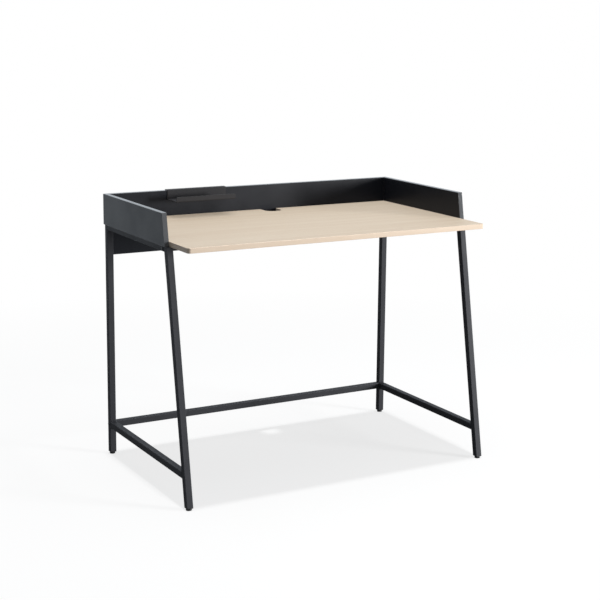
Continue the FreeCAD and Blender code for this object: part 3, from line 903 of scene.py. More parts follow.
def zinc_plate(tree, shader, colours):
    """Bright zinc plating, clouded and lightly scratched."""
    place = object_place(tree)
    cloud = speckle(tree, place, ZINC_CLOUDS, detail=4.0, roughness=0.6)
    scratch = drawn_out(tree, place, ZINC_SCRATCHES, detail=2.0)
    tone = mixed_tone(tree, cloud, scratch, CLOUD_SHARE)
    dull, bright = [shade(colours.zinc, share) for share in ZINC_TONES]
    inputs = {
        "Base Color": blended(tree, spread(tree, tone), dull, bright),
        "Roughness": spread(tree, tone, *ZINC_ROUGHNESS),
        "Normal": raised(tree, scratch, depth=0.00003, strength=0.25),
        "Metallic": 1.0,
    }
    set_inputs(tree, shader, inputs)


def beech_wood(tree, shader, colours):
    """Beech dowels: short dark flecks along the dowel."""
    place = object_place(tree)
    fleck = drawn_out(tree, place, BEECH_FLECKS, detail=2.0)
    tone = drawn_out(tree, place, BEECH_BANDS, detail=3.0)
    dark, light = [shade(colours.beech, share) for share in BEECH_TONES]
    wood = blended(tree, spread(tree, tone), dark, light)
    flecked = between(tree, fleck, *FLECKS_SHOW, 0.0, FLECK_SHARE)
    inputs = {
        "Base Color": blended(tree, flecked, wood, shade(colours.beech, FLECK_TONE)),
        "Roughness": spread(tree, tone, *BEECH_ROUGHNESS),
        "Normal": raised(tree, fleck, depth=0.00008, strength=0.3),
    }
    set_inputs(tree, shader, inputs)


# Boards

# Finishes of a black board's faces and of its edge bands
BLACK_BOARD = (black_board_face, black_board_edge)


def cam_pockets(sizes, fittings, places, depth):
    """Pockets for cam discs at places on a board's face."""
    return [(place, fittings.cam_radius + sizes.pocket_gap, depth + sizes.pocket_gap) for place in places]


def desktop_cam_places(fittings):
    """Middles of the cam discs under the desktop, as X and Y."""
    low, high = node_box("desktop_cam_discs")
    across = row_ends(low[0], high[0], fittings.cam_radius)
    back = row_ends(low[1], high[1], fittings.cam_radius)
    return [(x, y) for x in across for y in back]


def back_cam_places(fittings):
    """Middles of the cam discs in the back board, as X and Z."""
    low, high = node_box("back_panel_cam_discs")
    height = (low[2] + high[2]) / 2
    return [(x, height) for x in row_ends(low[0], high[0], fittings.cam_radius)]


def back_screw_places():
    """Middles of the screw heads in the back board, as X and Z, and the heads' radius."""
    low, high = node_box("back_panel_screws")
    radius = (high[2] - low[2]) / 2
    ends = row_ends(low[0], high[0], radius)
    return [(x, low[2] + radius) for x in np.linspace(ends[0], ends[1], 3)], radius


def oak_top_outline(sizes):
    """Outline of the oak top: rounded front corners, and the cable notch in its rear edge."""
    low, high = node_box("desktop")
    notch_left = sizes.notch_middle - sizes.notch_width / 2
    notch_right = sizes.notch_middle + sizes.notch_width / 2
    notch_front = high[1] - sizes.notch_depth
    corners = [
        (low[0], low[1]),
        (high[0], low[1]),
        (high[0], high[1]),
        (notch_right, high[1]),
        (notch_right, notch_front),
        (notch_left, notch_front),
        (notch_left, high[1]),
        (low[0], high[1]),
    ]
    front = sizes.front_corner
    plain = sizes.corner_round
    inner = sizes.notch_round
    return rounded_loop(corners, [front, front, plain, plain, inner, inner, plain, plain])


class DESK_OT_make_top(bpy.types.Operator):
    """Makes the oak top with its cable notch and the pockets for its cam discs."""

    bl_idname = "desk.make_top"
    bl_label = "Oak top"

    def execute(self, context):
        sizes = context.scene.desk_boards
        fittings = context.scene.desk_fittings
        low, high = node_box("desktop")
        cam_low, cam_high = node_box("desktop_cam_discs")
        pockets = cam_pockets(sizes, fittings, desktop_cam_places(fittings), cam_high[2] - cam_low[2])
        shell = Shell()
        outline = oak_top_outline(sizes)
        add_board(shell, outline, low[2], high[2], LEVEL_BOARD, sizes.edge_round, pockets)
        make_piece(shell, "oak_top", [oak_face, oak_edge], ["desktop"])
        return {"FINISHED"}


class DESK_OT_make_side_boards(bpy.types.Operator):
    """Makes the two side boards, whose front edges lean with the front legs."""

    bl_idname = "desk.make_side_boards"
    bl_label = "Side boards"

    def execute(self, context):
        sizes = context.scene.desk_boards
        for side in SIDES:
            node = side + "_side_panel"
            low, high = node_box(node)
            front_top = low[1] + (high[2] - low[2]) * math.tan(LEAN)
            corners = [(low[1], low[2]), (high[1], low[2]), (high[1], high[2]), (front_top, high[2])]
            outline = rounded_loop(corners, sizes.corner_round)
            shell = Shell()
            add_board(shell, outline, low[0], high[0], SIDE_BOARD, sizes.edge_round)
            make_piece(shell, side + "_side_board", BLACK_BOARD, [node])
        return {"FINISHED"}


class DESK_OT_make_back_board(bpy.types.Operator):
    """Makes the back board, narrower below where it passes between the rear legs."""

    bl_idname = "desk.make_back_board"
    bl_label = "Back board"

    def execute(self, context):
        sizes = context.scene.desk_boards
        fittings = context.scene.desk_fittings
        low, high = node_box("back_panel")
        step = node_box("desktop")[0][2]
        narrow = node_box("right_rear_leg")[0][0] - sizes.leg_gap
        corners = [
            (-narrow, low[2]),
            (narrow, low[2]),
            (narrow, step),
            (high[0], step),
            (high[0], high[2]),
            (low[0], high[2]),
            (low[0], step),
            (-narrow, step),
        ]
        outline = rounded_loop(corners, sizes.corner_round)
        cam_low, cam_high = node_box("back_panel_cam_discs")
        pockets = cam_pockets(sizes, fittings, back_cam_places(fittings), cam_high[1] - cam_low[1])
        screw_places, screw_radius = back_screw_places()
        hole = screw_radius + sizes.pocket_gap
        pockets += [(place, hole, fittings.back_screw_head) for place in screw_places]
        shell = Shell()
        add_board(shell, outline, -high[1], -low[1], BACK_BOARD, sizes.edge_round, pockets)
        make_piece(shell, "back_board", BLACK_BOARD, ["back_panel"])
        return {"FINISHED"}


# Steel frame

def leg_outline(corner, radius):
    """Outline of a leg at its foot, where the level cut is the tube's width over the cosine of the lean."""
    low, high = node_box(corner + "_leg")
    deep = (high[0] - low[0]) / math.cos(leg_lean(corner))
    return rectangle_loop((low[0], low[1]), (high[0], low[1] + deep), radius)


def leaned(corner, section, height):
    """Points of a leg's outline at a height, moved back by the height above its foot times the slope."""
    foot = node_box(corner + "_leg")[0][2]
    y = section[..., 1] + (height - foot) * math.tan(leg_lean(corner))
    return np.stack([section[..., 0], y, height], axis=-1)


def square_cut(place):
    """Cut straight across a tube, at the same place along it for every point of its outline."""
    return lambda section: np.full(section.shape[:-1], place)


def leg_cut(corner):
    """Cut of a side rail to a front leg, at the leg's rear face for the height of each point."""
    return lambda section: leg_back(corner, section[..., 0])


def carried_along(first, second, run):
    """Turns outline points and a distance along a tube into the frame, by the directions of all three."""
    axes = np.stack([first, second, run])
    return lambda section, along: np.concatenate([section, along[..., None]], axis=-1) @ axes


def make_tube(node, outline, sizes, start, end, place):
    """Square tube in place of a node: its outline carried from one cut to the other, outside and back inside.

    start and end give, for each point of the outline, how far along the cut is. place turns outline points
    and that distance into the frame. Each cut edge is eased by a small slope.
    """
    points, normals, bend = outline
    ease = sizes.cut_edge
    wall = sizes.tube_wall
    insets = np.array([ease, 0.0, 0.0, ease, wall, wall])
    into = np.array([0.0, ease, -ease, 0.0, 0.0, 0.0])
    at_end = np.array([False, False, True, True, True, False])
    section = points - insets[:, None, None] * normals
    along = np.where(at_end[:, None], end(section), start(section)) + into[:, None]
    wear = np.where(insets[:, None] > 0, 0.0, bend)
    shell = Shell()
    add_loft(shell, place(section, along), wear, joined=True)
    make_piece(shell, node + "_tube", [frame_coat], [node])


class DESK_OT_make_legs(bpy.types.Operator):
    """Makes the four legs of square tube: upright at the rear, leaning at the front, cut level."""

    bl_idname = "desk.make_legs"
    bl_label = "Legs"

    def execute(self, context):
        sizes = context.scene.desk_frame
        for corner in CORNERS:
            node = corner + "_leg"
            low, high = node_box(node)
            outline = leg_outline(corner, sizes.tube_corner)
            place = partial(leaned, corner)
            make_tube(node, outline, sizes, square_cut(low[2]), square_cut(high[2]), place)
        return {"FINISHED"}


class DESK_OT_make_rails(bpy.types.Operator):
    """Makes the side rails, cut to the lean of the front legs, and the two cross tubes."""

    bl_idname = "desk.make_rails"
    bl_label = "Rails and cross tubes"

    def execute(self, context):
        sizes = context.scene.desk_frame
        for side in SIDES:
            for rail in ("_lower_rail", "_top_rail"):
                self.make_side_rail(side, side + rail, sizes)
        for node in CROSS_TUBES.values():
            self.make_cross_tube(node, sizes)
        return {"FINISHED"}

    def make_side_rail(self, side, node, sizes):
        """Side rail: its outline, as height and X, carried along Y from the leaning leg to the rear leg."""
        low, high = node_box(node)
        outline = rectangle_loop((low[2], low[0]), (high[2], high[0]), sizes.tube_corner)
        lying = carried_along(ALONG_Z, ALONG_X, ALONG_Y)
        make_tube(node, outline, sizes, leg_cut(side + "_front"), square_cut(high[1]), lying)

    def make_cross_tube(self, node, sizes):
        """Cross tube: its outline, as Y and height, carried along X from one side frame to the other."""
        low, high = node_box(node)
        outline = rectangle_loop((low[1], low[2]), (high[1], high[2]), sizes.tube_corner)
        lying = carried_along(ALONG_Y, ALONG_Z, ALONG_X)
        make_tube(node, outline, sizes, square_cut(low[0]), square_cut(high[0]), lying)


class DESK_OT_make_tabs(bpy.types.Operator):
    """Makes the tabs under the desktop, two on each top rail, with rounded free corners."""

    bl_idname = "desk.make_tabs"
    bl_label = "Desktop tabs"

    def execute(self, context):
        sizes = context.scene.desk_frame
        for side in SIDES:
            node = side + "_desktop_tabs"
            low, high = node_box(node)
            shell = Shell()
            for start in (low[1], high[1] - sizes.tab_width):
                end = start + sizes.tab_width
                corners = [(low[0], start), (high[0], start), (high[0], end), (low[0], end)]
                sharp = 2 * sizes.cut_edge
                free = sizes.tab_corner
                radii = [sharp, free, free, sharp] if side == "left" else [free, sharp, sharp, free]
                add_board(shell, rounded_loop(corners, radii), low[2], high[2], LEVEL_BOARD, sizes.cut_edge)
            make_piece(shell, side + "_tab_plates", [frame_coat, frame_coat], [node])
        return {"FINISHED"}


class DESK_OT_make_welds(bpy.types.Operator):
    """Makes the weld beads in the inside corners of the side frames and under the tabs."""

    bl_idname = "desk.make_welds"
    bl_label = "Welds"

    def execute(self, context):
        sizes = context.scene.desk_frame
        for side in SIDES:
            shell = Shell()
            lower_low, lower_high = node_box(side + "_lower_rail")
            top_low = node_box(side + "_top_rail")[0]
            for height, up in ((lower_high[2], 1.0), (lower_low[2], -1.0), (top_low[2], -1.0)):
                self.add_corner_welds(shell, side, height, up, sizes)
            self.add_tab_welds(shell, side, sizes)
            make_piece(shell, side + "_frame_welds", [frame_coat])
        return {"FINISHED"}

    def add_corner_welds(self, shell, side, height, up, sizes):
        """Beads across a rail's upper or lower face where it meets the rear leg and the front leg."""
        low, high = node_box(side + "_rear_leg")
        ends = row_ends(low[0], high[0], sizes.tube_corner)
        rear = [np.array((x, low[1], height)) for x in ends]
        add_weld(shell, rear[0], rear[1], -ALONG_Y, up * ALONG_Z, sizes)
        front = [np.array((x, leg_back(side + "_front", height), height)) for x in ends]
        leaning = up * np.array((0.0, math.sin(LEAN), math.cos(LEAN)))
        add_weld(shell, front[0], front[1], ALONG_Y, leaning, sizes)

    def add_tab_welds(self, shell, side, sizes):
        """Beads under each tab, along the inner face of its rail."""
        low, high = node_box(side + "_desktop_tabs")
        sign = 1.0 if side == "right" else -1.0
        at_rail = high[0] if sign > 0 else low[0]
        inset = sizes.weld_leg
        for start in (low[1], high[1] - sizes.tab_width):
            first = np.array((at_rail, start + inset, low[2]))
            last = np.array((at_rail, start + sizes.tab_width - inset, low[2]))
            add_weld(shell, first, last, -sign * ALONG_X, -ALONG_Z, sizes)


# Small fittings

def make_fittings(name, node, rings, stands, paint=zinc_plate, body="desk"):
    """Like fittings as one piece: the same rings, stood at each place along the axis given with it."""
    shell = Shell()
    for place, axis in stands:
        add_loft(shell, standing_at(rings, place, axis))
    make_piece(shell, name, [paint], [node], body)


def inward_stands(reach, rows):
    """Places at both ends of a length along X, at each Y and height in rows, with axes to the middle."""
    return [((sign * reach, y, z), -sign * ALONG_X) for sign in (-1.0, 1.0) for y, z in rows]


def fitting_rows(low, high, radius):
    """Y and height of each of the fittings that share one end of a box, a row along Y or up Z."""
    rows_y = sorted(set(np.round(row_ends(low[1], high[1], radius), PLACE_DIGITS)))
    rows_z = sorted(set(np.round(row_ends(low[2], high[2], radius), PLACE_DIGITS)))
    return [(y, z) for y in rows_y for z in rows_z]


def floor_middle(low, high):
    """Middle of the floor of a box."""
    return ((low[0] + high[0]) / 2, (low[1] + high[1]) / 2, low[2])


# Feet

class DESK_OT_make_feet(bpy.types.Operator):
    """Makes the insert in the end of each leg, and each foot's pad and threaded stem."""

    bl_idname = "desk.make_feet"
    bl_label = "Feet"

    def execute(self, context):
        frame_sizes = context.scene.desk_frame
        sizes = context.scene.desk_fittings
        for corner in CORNERS:
            self.make_insert(corner, frame_sizes, sizes)
            self.make_pad(corner, sizes)
            self.make_stem(corner, sizes)
        return {"FINISHED"}

    def make_insert(self, corner, frame_sizes, sizes):
        """Insert: rings from the bore's lower rim out round the flange, up the plug and back down the bore.

        The flange and plug follow the tube's own outline, so in a front leg each ring is moved back by its
        height times the slope of the lean. The bore is upright.
        """
        node = corner + "_leg_insert"
        low, high = node_box(node)
        pad_low, pad_high = node_box(corner + "_foot_pad")
        points, normals, _ = leg_outline(corner, frame_sizes.tube_corner)
        ease = frame_sizes.cut_edge
        plug = frame_sizes.tube_wall + ease
        insets = np.array([ease, 0.0, 0.0, plug, plug, 2 * plug])
        seat = node_box(corner + "_leg")[0][2]
        heights = np.array([low[2], low[2] + ease, seat, seat, high[2] - ease, high[2]])
        section = points - insets[:, None, None] * normals
        sides = leaned(corner, section, np.broadcast_to(heights[:, None], section.shape[:2]))
        middle = (pad_low + pad_high)[:2] / 2
        outward = unit_rows(points - points.mean(axis=0))
        bore = middle + sizes.foot_bore * outward
        rings = [at_height(bore, low[2]), *sides, at_height(bore, high[2])]
        shell = Shell()
        add_loft(shell, np.stack(rings), joined=True)
        make_piece(shell, corner + "_insert", [moulded_black], [node])

    def make_pad(self, corner, sizes):
        """Pad: a turned profile from the hollow underside out round the rim and up to the shoulder."""
        node = corner + "_foot_pad"
        low, high = node_box(node)
        radius = (high[0] - low[0]) / 2
        height = high[2] - low[2]
        rim = radius - sizes.pad_rim
        corners = [
            (rim - sizes.pad_hollow, sizes.pad_hollow),
            (rim, 0.0),
            (radius, 0.0),
            (radius, height),
            (rim, height),
        ]
        profile, wear = turned_profile(corners, [sizes.pad_edge, sizes.pad_edge, sizes.pad_shoulder])
        rings = turned_rings(profile, ring_angles())
        shell = Shell()
        add_loft(shell, standing_at(rings, floor_middle(low, high), ALONG_Z), wear[:, None])
        make_piece(shell, corner + "_pad", [moulded_black], [node], corner + "_foot")

    def make_stem(self, corner, sizes):
        """Stem: a machine thread from the pad up, with a chamfered end."""
        node = corner + "_foot_stem"
        low, high = node_box(node)
        radius = (high[0] - low[0]) / 2
        height = high[2] - low[2]
        chamfer = sizes.thread_depth
        angles = ring_angles()
        thread = thread_rings(radius, sizes.thread_depth, sizes.thread_pitch, 0.0, height - chamfer, angles)
        end = turned_rings([(radius - 2 * chamfer, height)], angles)
        stands = [(floor_middle(low, high), ALONG_Z)]
        make_fittings(corner + "_stem", node, np.concatenate([thread, end]), stands, body=corner + "_foot")


# Tray

class DESK_OT_make_tray(bpy.types.Operator):
    """Makes the tray: one sheet folded into a hook, a back, a floor and a lip."""

    bl_idname = "desk.make_tray"
    bl_label = "Tray"

    def execute(self, context):
        """The sheet's section, a flat strip with rounded edges, is carried along the folded middle line.

        Near each end of the line the strip is narrower by the corner's radius less the radius times the sine
        of an angle, at the radius less the radius times its cosine from the end, which rounds the corners.
        """
        sizes = context.scene.desk_tray
        low, high = node_box("tray")
        half = sizes.sheet / 2
        wall = node_box("back_panel")[0][1] - sizes.hook_play - half
        hook = high[1] - half
        top = high[2] - half
        floor = low[2] + half
        front = low[1] + half
        hook_end = (hook, high[2] - sizes.hook_drop)
        lip_end = (front, low[2] + sizes.lip)
        line = [hook_end, (hook, top), (wall, top), (wall, floor), (front, floor), lip_end]
        bends, normals, _ = bent_path(line, sizes.bend + half, ARC_STEPS)
        angle = np.linspace(0.0, np.pi / 2, ARC_STEPS + 1)
        from_end = sizes.corner * (1 - np.cos(angle))
        narrower = sizes.corner * (1 - np.sin(angle))
        hook_run = np.column_stack([np.full(len(angle), hook), hook_end[1] + from_end])
        lip_run = np.column_stack([np.full(len(angle), front), lip_end[1] - from_end])[::-1]
        path = np.vstack([hook_run, bends, lip_run])
        hook_normals = np.repeat(normals[:1], len(angle), axis=0)
        lip_normals = np.repeat(normals[-1:], len(angle), axis=0)
        outward = np.vstack([hook_normals, normals, lip_normals])
        drawn_in = np.concatenate([narrower, np.zeros(len(bends)), narrower[::-1]])
        length = high[0] - low[0]
        strip, _, bend = rectangle_loop((-length / 2, -half), (length / 2, half), sizes.edge)
        x = (low[0] + high[0]) / 2 + strip[:, 0] - np.sign(strip[:, 0]) * drawn_in[:, None]
        yz = path[:, None] + strip[:, 1][None, :, None] * outward[:, None]
        shell = Shell()
        add_loft(shell, np.concatenate([x[..., None], yz], axis=-1), bend)
        make_piece(shell, "folded_tray", [tray_coat], ["tray"], "tray")
        return {"FINISHED"}


# Screws, bolts, cams and dowels

def screw_rings(sizes, shank, head_radius, head_height, dome, length):
    """Wood screw about Z, its head on top with its underside at 0: point, thread, head and cross recess."""
    angles, recess = cross_recess(head_radius, head_height, sizes.screw_recess)
    depth = sizes.wood_thread_depth
    point = turned_rings([(depth / 2, -length)], angles)
    thread = thread_rings(shank, depth, sizes.wood_thread_pitch, 2 * shank - length, 0.0, angles)
    head = turned_rings(domed_head(head_radius, head_height, dome), angles)
    return np.concatenate([point, thread, head, recess])


class DESK_OT_make_screws(bpy.types.Operator):
    """Makes the screws under the desktop and those in the back board."""

    bl_idname = "desk.make_screws"
    bl_label = "Screws"

    def execute(self, context):
        sizes = context.scene.desk_fittings
        self.make_tab_screws(sizes)
        self.make_back_screws(sizes)
        return {"FINISHED"}

    def make_tab_screws(self, sizes):
        """Four round-headed screws up through the tabs into the desktop."""
        low, high = node_box("tab_screws")
        tab_low, tab_high = node_box("right_desktop_tabs")
        head_radius = high[0] - (tab_low[0] + tab_high[0]) / 2
        head = sizes.tab_screw_head
        seat = low[2] + head
        length = high[2] - seat
        rings = screw_rings(sizes, sizes.tab_screw_shank, head_radius, head, sizes.tab_screw_dome, length)
        across = row_ends(low[0], high[0], head_radius)
        back = row_ends(low[1], high[1], head_radius)
        stands = [((x, y, seat), -ALONG_Z) for x in across for y in back]
        make_fittings("tab_screw_set", "tab_screws", rings, stands)

    def make_back_screws(self, sizes):
        """Flush-headed screws through the back board into the desktop's rear edge."""
        low, high = node_box("back_panel_screws")
        places, head_radius = back_screw_places()
        head = sizes.back_screw_head
        seat = high[1] - head
        length = seat - low[1]
        rings = screw_rings(sizes, sizes.back_screw_shank, head_radius, head, sizes.back_screw_dome, length)
        stands = [((x, seat, z), ALONG_Y) for x, z in places]
        make_fittings("back_screw_set", "back_panel_screws", rings, stands)


class DESK_OT_make_bolts(bpy.types.Operator):
    """Makes the bolts through the side frames and the end nuts in the cross tubes that they go into."""

    bl_idname = "desk.make_bolts"
    bl_label = "Cross tube bolts"

    def execute(self, context):
        sizes = context.scene.desk_fittings
        for kind, tube in CROSS_TUBES.items():
            self.make_bolts(kind, tube, sizes)
            self.make_end_nuts(kind, context.scene.desk_frame, sizes)
        return {"FINISHED"}

    def make_bolts(self, kind, tube, sizes):
        """Bolt: a threaded shank, a low domed head and a six-sided socket, about X."""
        node = kind + "_bolts"
        low, high = node_box(node)
        head_radius = (high[2] - low[2]) / 2
        seat = high[0] - sizes.bolt_head
        reach = seat - node_box(tube)[1][0] + sizes.bolt_bite
        angles = ring_angles()
        height = sizes.bolt_head
        thread = thread_rings(sizes.bolt_shank, sizes.thread_depth, sizes.thread_pitch, -reach, 0.0, angles)
        head = turned_rings(domed_head(head_radius, height, sizes.bolt_dome), angles)
        socket = recess_rings(hexagon_radius(angles, sizes.bolt_socket), height, sizes.socket_depth, angles)
        rings = np.concatenate([thread, head, socket])
        middle = (low + high) / 2
        stands = [((sign * seat, middle[1], middle[2]), sign * ALONG_X) for sign in (-1.0, 1.0)]
        make_fittings(kind + "_bolt_pair", node, rings, stands, black_steel)

    def make_end_nuts(self, kind, frame_sizes, sizes):
        """End nut: a plug with a round bore, as rings from the bore's rim out, along and back."""
        node = kind + "_end_nuts"
        low, high = node_box(node)
        ease = frame_sizes.cut_edge
        points, normals, _ = rectangle_loop((low[1], low[2]), (high[1], high[2]), 2 * ease)
        middle = (low + high)[1:] / 2
        bore = middle + (sizes.bolt_shank + ease / 2) * unit_rows(points - middle)
        eased = points - ease * normals
        outlines = np.stack([bore, eased, points, points, eased, bore])
        shell = Shell()
        for start in (low[0], high[0] - sizes.nut_length):
            end = start + sizes.nut_length
            x = np.array([start, start, start + ease, end - ease, end, end])
            along = np.broadcast_to(x[:, None, None], outlines.shape[:2] + (1,))
            add_loft(shell, np.concatenate([along, outlines], axis=-1), joined=True)
        make_piece(shell, kind + "_nut_pair", [zinc_plate], [node])


def cam_disc_rings(sizes, depth):
    """Cam disc about Z, its face at 0: a turned disc with sloping rims and a cross recess."""
    radius = sizes.cam_radius
    edge = sizes.cam_edge
    angles, recess = cross_recess(radius, 0.0, sizes.cam_recess)
    disc = [(radius - edge, -depth), (radius, edge - depth), (radius, -edge), (radius - edge, 0.0)]
    return np.concatenate([turned_rings(disc, angles), recess])


def cam_bolt_rings(sizes, head_radius, bite, length):
    """Cam bolt about Z from its point: wood thread, collar, neck and head."""
    angles = ring_angles()
    depth = sizes.wood_thread_depth
    thread = thread_rings(sizes.cam_bolt_shank, depth, sizes.wood_thread_pitch, 0.0, bite, angles)
    collar = bite + sizes.cam_bolt_head
    head = length - sizes.cam_bolt_head
    neck = [
        (head_radius, bite),
        (head_radius, collar),
        (sizes.cam_bolt_neck, collar),
        (sizes.cam_bolt_neck, head),
        (head_radius, head),
        (head_radius, length),
    ]
    return np.concatenate([thread, turned_rings(neck, angles)])


class DESK_OT_make_cams(bpy.types.Operator):
    """Makes the cam discs let into the boards, and the cam bolts that they draw in."""

    bl_idname = "desk.make_cams"
    bl_label = "Cam fittings"

    def execute(self, context):
        sizes = context.scene.desk_fittings
        self.make_desktop_discs(sizes)
        self.make_back_discs(sizes)
        for node in ("desktop_cam_bolts", "back_panel_cam_bolts"):
            self.make_cam_bolts(node, sizes)
        return {"FINISHED"}

    def make_desktop_discs(self, sizes):
        """Discs in the underside of the desktop."""
        low, high = node_box("desktop_cam_discs")
        rings = cam_disc_rings(sizes, high[2] - low[2])
        stands = [((x, y, low[2]), -ALONG_Z) for x, y in desktop_cam_places(sizes)]
        make_fittings("desktop_cam_set", "desktop_cam_discs", rings, stands)

    def make_back_discs(self, sizes):
        """Discs in the rear face of the back board."""
        low, high = node_box("back_panel_cam_discs")
        rings = cam_disc_rings(sizes, high[1] - low[1])
        stands = [((x, high[1], z), ALONG_Y) for x, z in back_cam_places(sizes)]
        make_fittings("back_cam_set", "back_panel_cam_discs", rings, stands)

    def make_cam_bolts(self, node, sizes):
        """Cam bolts from the side boards inwards, at each end of the node's box."""
        low, high = node_box(node)
        head_radius = np.min(high - low) / 2
        bite = high[0] - node_box("right_side_panel")[0][0]
        disc_middle = node_box("desktop_cam_discs")[1][0] - sizes.cam_radius
        length = high[0] - disc_middle + sizes.cam_bolt_head
        rings = cam_bolt_rings(sizes, head_radius, bite, length)
        stands = inward_stands(high[0], fitting_rows(low, high, head_radius))
        make_fittings(node + "_set", node, rings, stands)


class DESK_OT_make_dowels(bpy.types.Operator):
    """Makes the fluted beech dowels between the boards."""

    bl_idname = "desk.make_dowels"
    bl_label = "Dowels"

    def execute(self, context):
        """Dowel: a round bar whose radius dips by the flute's depth at each flute, with chamfered ends."""
        sizes = context.scene.desk_fittings
        angles = ring_angles()
        for node in ("desktop_dowels", "back_panel_dowels"):
            low, high = node_box(node)
            radius = min(high[1] - low[1], high[2] - low[2]) / 2
            length = sizes.dowel_length
            chamfer = sizes.dowel_chamfer
            fluted = radius - sizes.flute_depth * np.abs(np.sin(DOWEL_FLUTES / 2 * angles))
            narrowed = fluted - chamfer
            radii = np.stack([narrowed, fluted, fluted, narrowed])
            heights = np.array([0.0, chamfer, length - chamfer, length])
            rings = polar_rings(radii, heights, angles)
            stands = inward_stands(high[0], fitting_rows(low, high, radius))
            make_fittings(node + "_set", node, rings, stands, beech_wood)
        return {"FINISHED"}


# Stage

def ray_kinds(tree):
    """Whether a ray comes from the camera itself, and whether it is mirrored or has gone through glass."""
    path = put(tree, "ShaderNodeLightPath", {}).outputs
    mirrored = calculated(tree, "MAXIMUM", path["Is Glossy Ray"], path["Is Transmission Ray"])
    return path["Is Camera Ray"], mirrored


def floor_material(stage):
    """Pale floor: takes shadows near the desk, and is plain white further off.

    The light that it throws back on the desk is that of a darker floor, as in a room, and so are its
    reflections near the desk.
    """
    made = bpy.data.materials.new("pale_floor")
    made.use_nodes = True
    tree = made.node_tree
    tree.nodes.clear()
    distance = put(tree, "ShaderNodeVectorMath", {0: object_place(tree)}, operation="LENGTH").outputs["Value"]
    near = stage.shadow_radius
    glow = between(tree, distance, near, SEEN_WHITE_FROM * near, stage.floor_glow, 1.0)
    mirror_glow = between(tree, distance, near, MIRRORED_WHITE_FROM * near, stage.mirror_glow, 1.0)
    seen, mirrored = ray_kinds(tree)
    bright_seen = calculated(tree, "MULTIPLY", seen, glow)
    bright_mirrored = calculated(tree, "MULTIPLY", mirrored, mirror_glow)
    share = calculated(tree, "ADD", bright_seen, bright_mirrored)
    colour = blended(tree, seen, shade(stage.floor_bounce), shade(stage.floor_colour))
    matt = put(tree, "ShaderNodeBsdfDiffuse", {"Color": colour}).outputs[0]
    glow_colour = blended(tree, seen, shade(stage.sky_colour), PLAIN_WHITE)
    white = put(tree, "ShaderNodeEmission", {"Color": glow_colour, "Strength": 1.0}).outputs[0]
    mixed = put(tree, "ShaderNodeMixShader", {0: share, 1: matt, 2: white}).outputs[0]
    put(tree, "ShaderNodeOutputMaterial", {"Surface": mixed})
    return made


def even_sky(stage):
    """World: plain white to the camera, pale and cool in reflections, and an even soft light for the rest."""
    world = bpy.data.worlds.new("even_sky")
    world.use_nodes = True
    tree = world.node_tree
    tree.nodes.clear()
    seen, mirrored = ray_kinds(tree)
    bright = calculated(tree, "MAXIMUM", seen, mirrored)
    strength = between(tree, bright, 0.0, 1.0, stage.sky_light, 1.0)
    colour = blended(tree, seen, shade(stage.sky_colour), PLAIN_WHITE)
    sky = put(tree, "ShaderNodeBackground", {"Color": colour, "Strength": strength}).outputs[0]
    put(tree, "ShaderNodeOutputWorld", {"Surface": sky})
    return world


def light_links(names, state):
    """Collection of the pieces that a light takes in or leaves out."""
    links = bpy.data.collections.new("light_links")
    for name in names:
        links.objects.link(bpy.data.objects[name])
    for link in links.collection_objects:
        link.light_linking.link_state = state
    return links


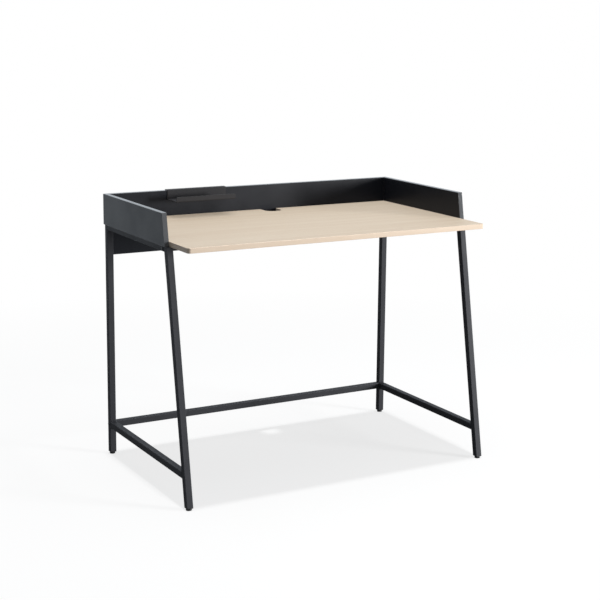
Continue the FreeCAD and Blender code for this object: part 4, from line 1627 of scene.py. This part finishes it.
class DESK_OT_set_stage(bpy.types.Operator):
    """Sets the pale floor, the soft lights and the camera."""

    bl_idname = "desk.set_stage"
    bl_label = "Floor, lights and camera"

    def execute(self, context):
        scene = context.scene
        stage = scene.desk_stage
        self.make_floor(stage)
        scene.world = even_sky(stage)
        self.make_lights(stage)
        scene.camera = self.make_camera(stage)
        scene.view_settings.view_transform = "Standard"
        return {"FINISHED"}

    def make_floor(self, stage):
        """Floor: a round sheet on the ground, rings of growing radius about the middle."""
        radii = stage.floor_radius * np.array(FLOOR_RINGS)
        rings = turned_rings(np.column_stack([radii, np.zeros(len(radii))]), ring_angles())
        shell = Shell()
        numbers = shell.add_points(rings[::-1])
        shell.add_faces(band_faces(numbers))
        shell.add_faces(numbers[-1:])
        mesh = shell.mesh("floor")
        mesh.materials.append(floor_material(stage))
        floor = add_object("floor", mesh)

    def make_lights(self, stage):
        """A small light straight above for the floor's shadow, and large soft ones above and in front.

        The small light passes the tray by, so the tray's shadow on the top is only a soft one. The light in
        front comes twice: once for the boards that don't mirror it, and once for all the rest.
        """
        above = bpy.data.lights.new("overhead", "SUN")
        above.energy = stage.sun_light
        above.angle = stage.sun_angle
        sun = add_object("overhead", above)
        sun.light_linking.blocker_collection = light_links(["folded_tray"], "EXCLUDE")
        key_place = (stage.key_x, stage.key_y, stage.key_z)
        key = self.add_soft_light("key", stage.key_light, stage.key_size, key_place)
        key.light_linking.receiver_collection = light_links(MATT_PIECES, "EXCLUDE")
        matt_key = self.add_soft_light("matt_key", stage.matt_key_light, stage.key_size, key_place)
        matt_key.light_linking.receiver_collection = light_links(MATT_PIECES, "INCLUDE")
        matt_key.visible_glossy = False
        soft_place = (0.0, 0.0, stage.soft_height)
        self.add_soft_light("soft", stage.soft_light, stage.soft_size, soft_place)

    def add_soft_light(self, name, power, size, place):
        """Round soft light at a place, turned to the middle of the desk."""
        light = bpy.data.lights.new(name, "AREA")
        light.energy = power
        light.shape = "DISK"
        light.size = size
        lamp = add_object(name, light)
        lamp.location = place
        low, high = node_box("desktop")
        middle = Vector((low + high) / 2)
        lamp.rotation_euler = (middle - lamp.location).to_track_quat("-Z", "Y").to_euler()
        return lamp

    def make_camera(self, stage):
        """Camera turned to the right of +Y, dipped, then rolled about its own axis."""
        lens = bpy.data.cameras.new("camera")
        lens.lens = stage.camera_lens
        lens.shift_y = stage.camera_drop
        camera = add_object("camera", lens)
        turn = Matrix.Rotation(-stage.camera_turn, 4, "Z")
        dip = Matrix.Rotation(math.pi / 2 - stage.camera_dip, 4, "X")
        roll = Matrix.Rotation(stage.camera_roll, 4, "Z")
        place = Matrix.Translation((stage.camera_x, stage.camera_y, stage.camera_z))
        camera.matrix_world = place @ turn @ dip @ roll
        return camera


class DESK_PT_pieces(bpy.types.Panel):
    """Lists what makes the desk, and the settings behind it."""

    bl_idname = "DESK_PT_pieces"
    bl_label = "Computer desk"
    bl_space_type = "VIEW_3D"
    bl_region_type = "UI"
    bl_category = "Desk"

    def draw(self, context):
        for operator in OPERATORS:
            self.layout.operator(operator.bl_idname)
        for name in SETTINGS:
            group = getattr(context.scene, name)
            box = self.layout.box()
            for field in group.__annotations__:
                box.prop(group, field)


OPERATORS = (
    DESK_OT_make_top,
    DESK_OT_make_side_boards,
    DESK_OT_make_back_board,
    DESK_OT_make_legs,
    DESK_OT_make_rails,
    DESK_OT_make_tabs,
    DESK_OT_make_welds,
    DESK_OT_make_feet,
    DESK_OT_make_tray,
    DESK_OT_make_screws,
    DESK_OT_make_bolts,
    DESK_OT_make_cams,
    DESK_OT_make_dowels,
    DESK_OT_set_stage,
)

SETTINGS = {
    "desk_boards": DeskBoardSizes,
    "desk_frame": DeskFrameSizes,
    "desk_fittings": DeskFittingSizes,
    "desk_tray": DeskTraySizes,
    "desk_colours": DeskColours,
    "desk_stage": DeskStage,
}


def register():
    """Adds the settings, the operators and the panel."""
    for name, group in SETTINGS.items():
        bpy.utils.register_class(group)
        setattr(bpy.types.Scene, name, bpy.props.PointerProperty(type=group))
    for operator in OPERATORS:
        bpy.utils.register_class(operator)
    bpy.utils.register_class(DESK_PT_pieces)


def unregister():
    """Takes away what register added."""
    bpy.utils.unregister_class(DESK_PT_pieces)
    for operator in reversed(OPERATORS):
        bpy.utils.unregister_class(operator)
    for name, group in SETTINGS.items():
        delattr(bpy.types.Scene, name)
        bpy.utils.unregister_class(group)


def main():
    """Makes every piece and the stage in order."""
    register()
    for operator in OPERATORS:
        group, action = operator.bl_idname.split(".")
        getattr(getattr(bpy.ops, group), action)()


if __name__ == "__main__":
    main()
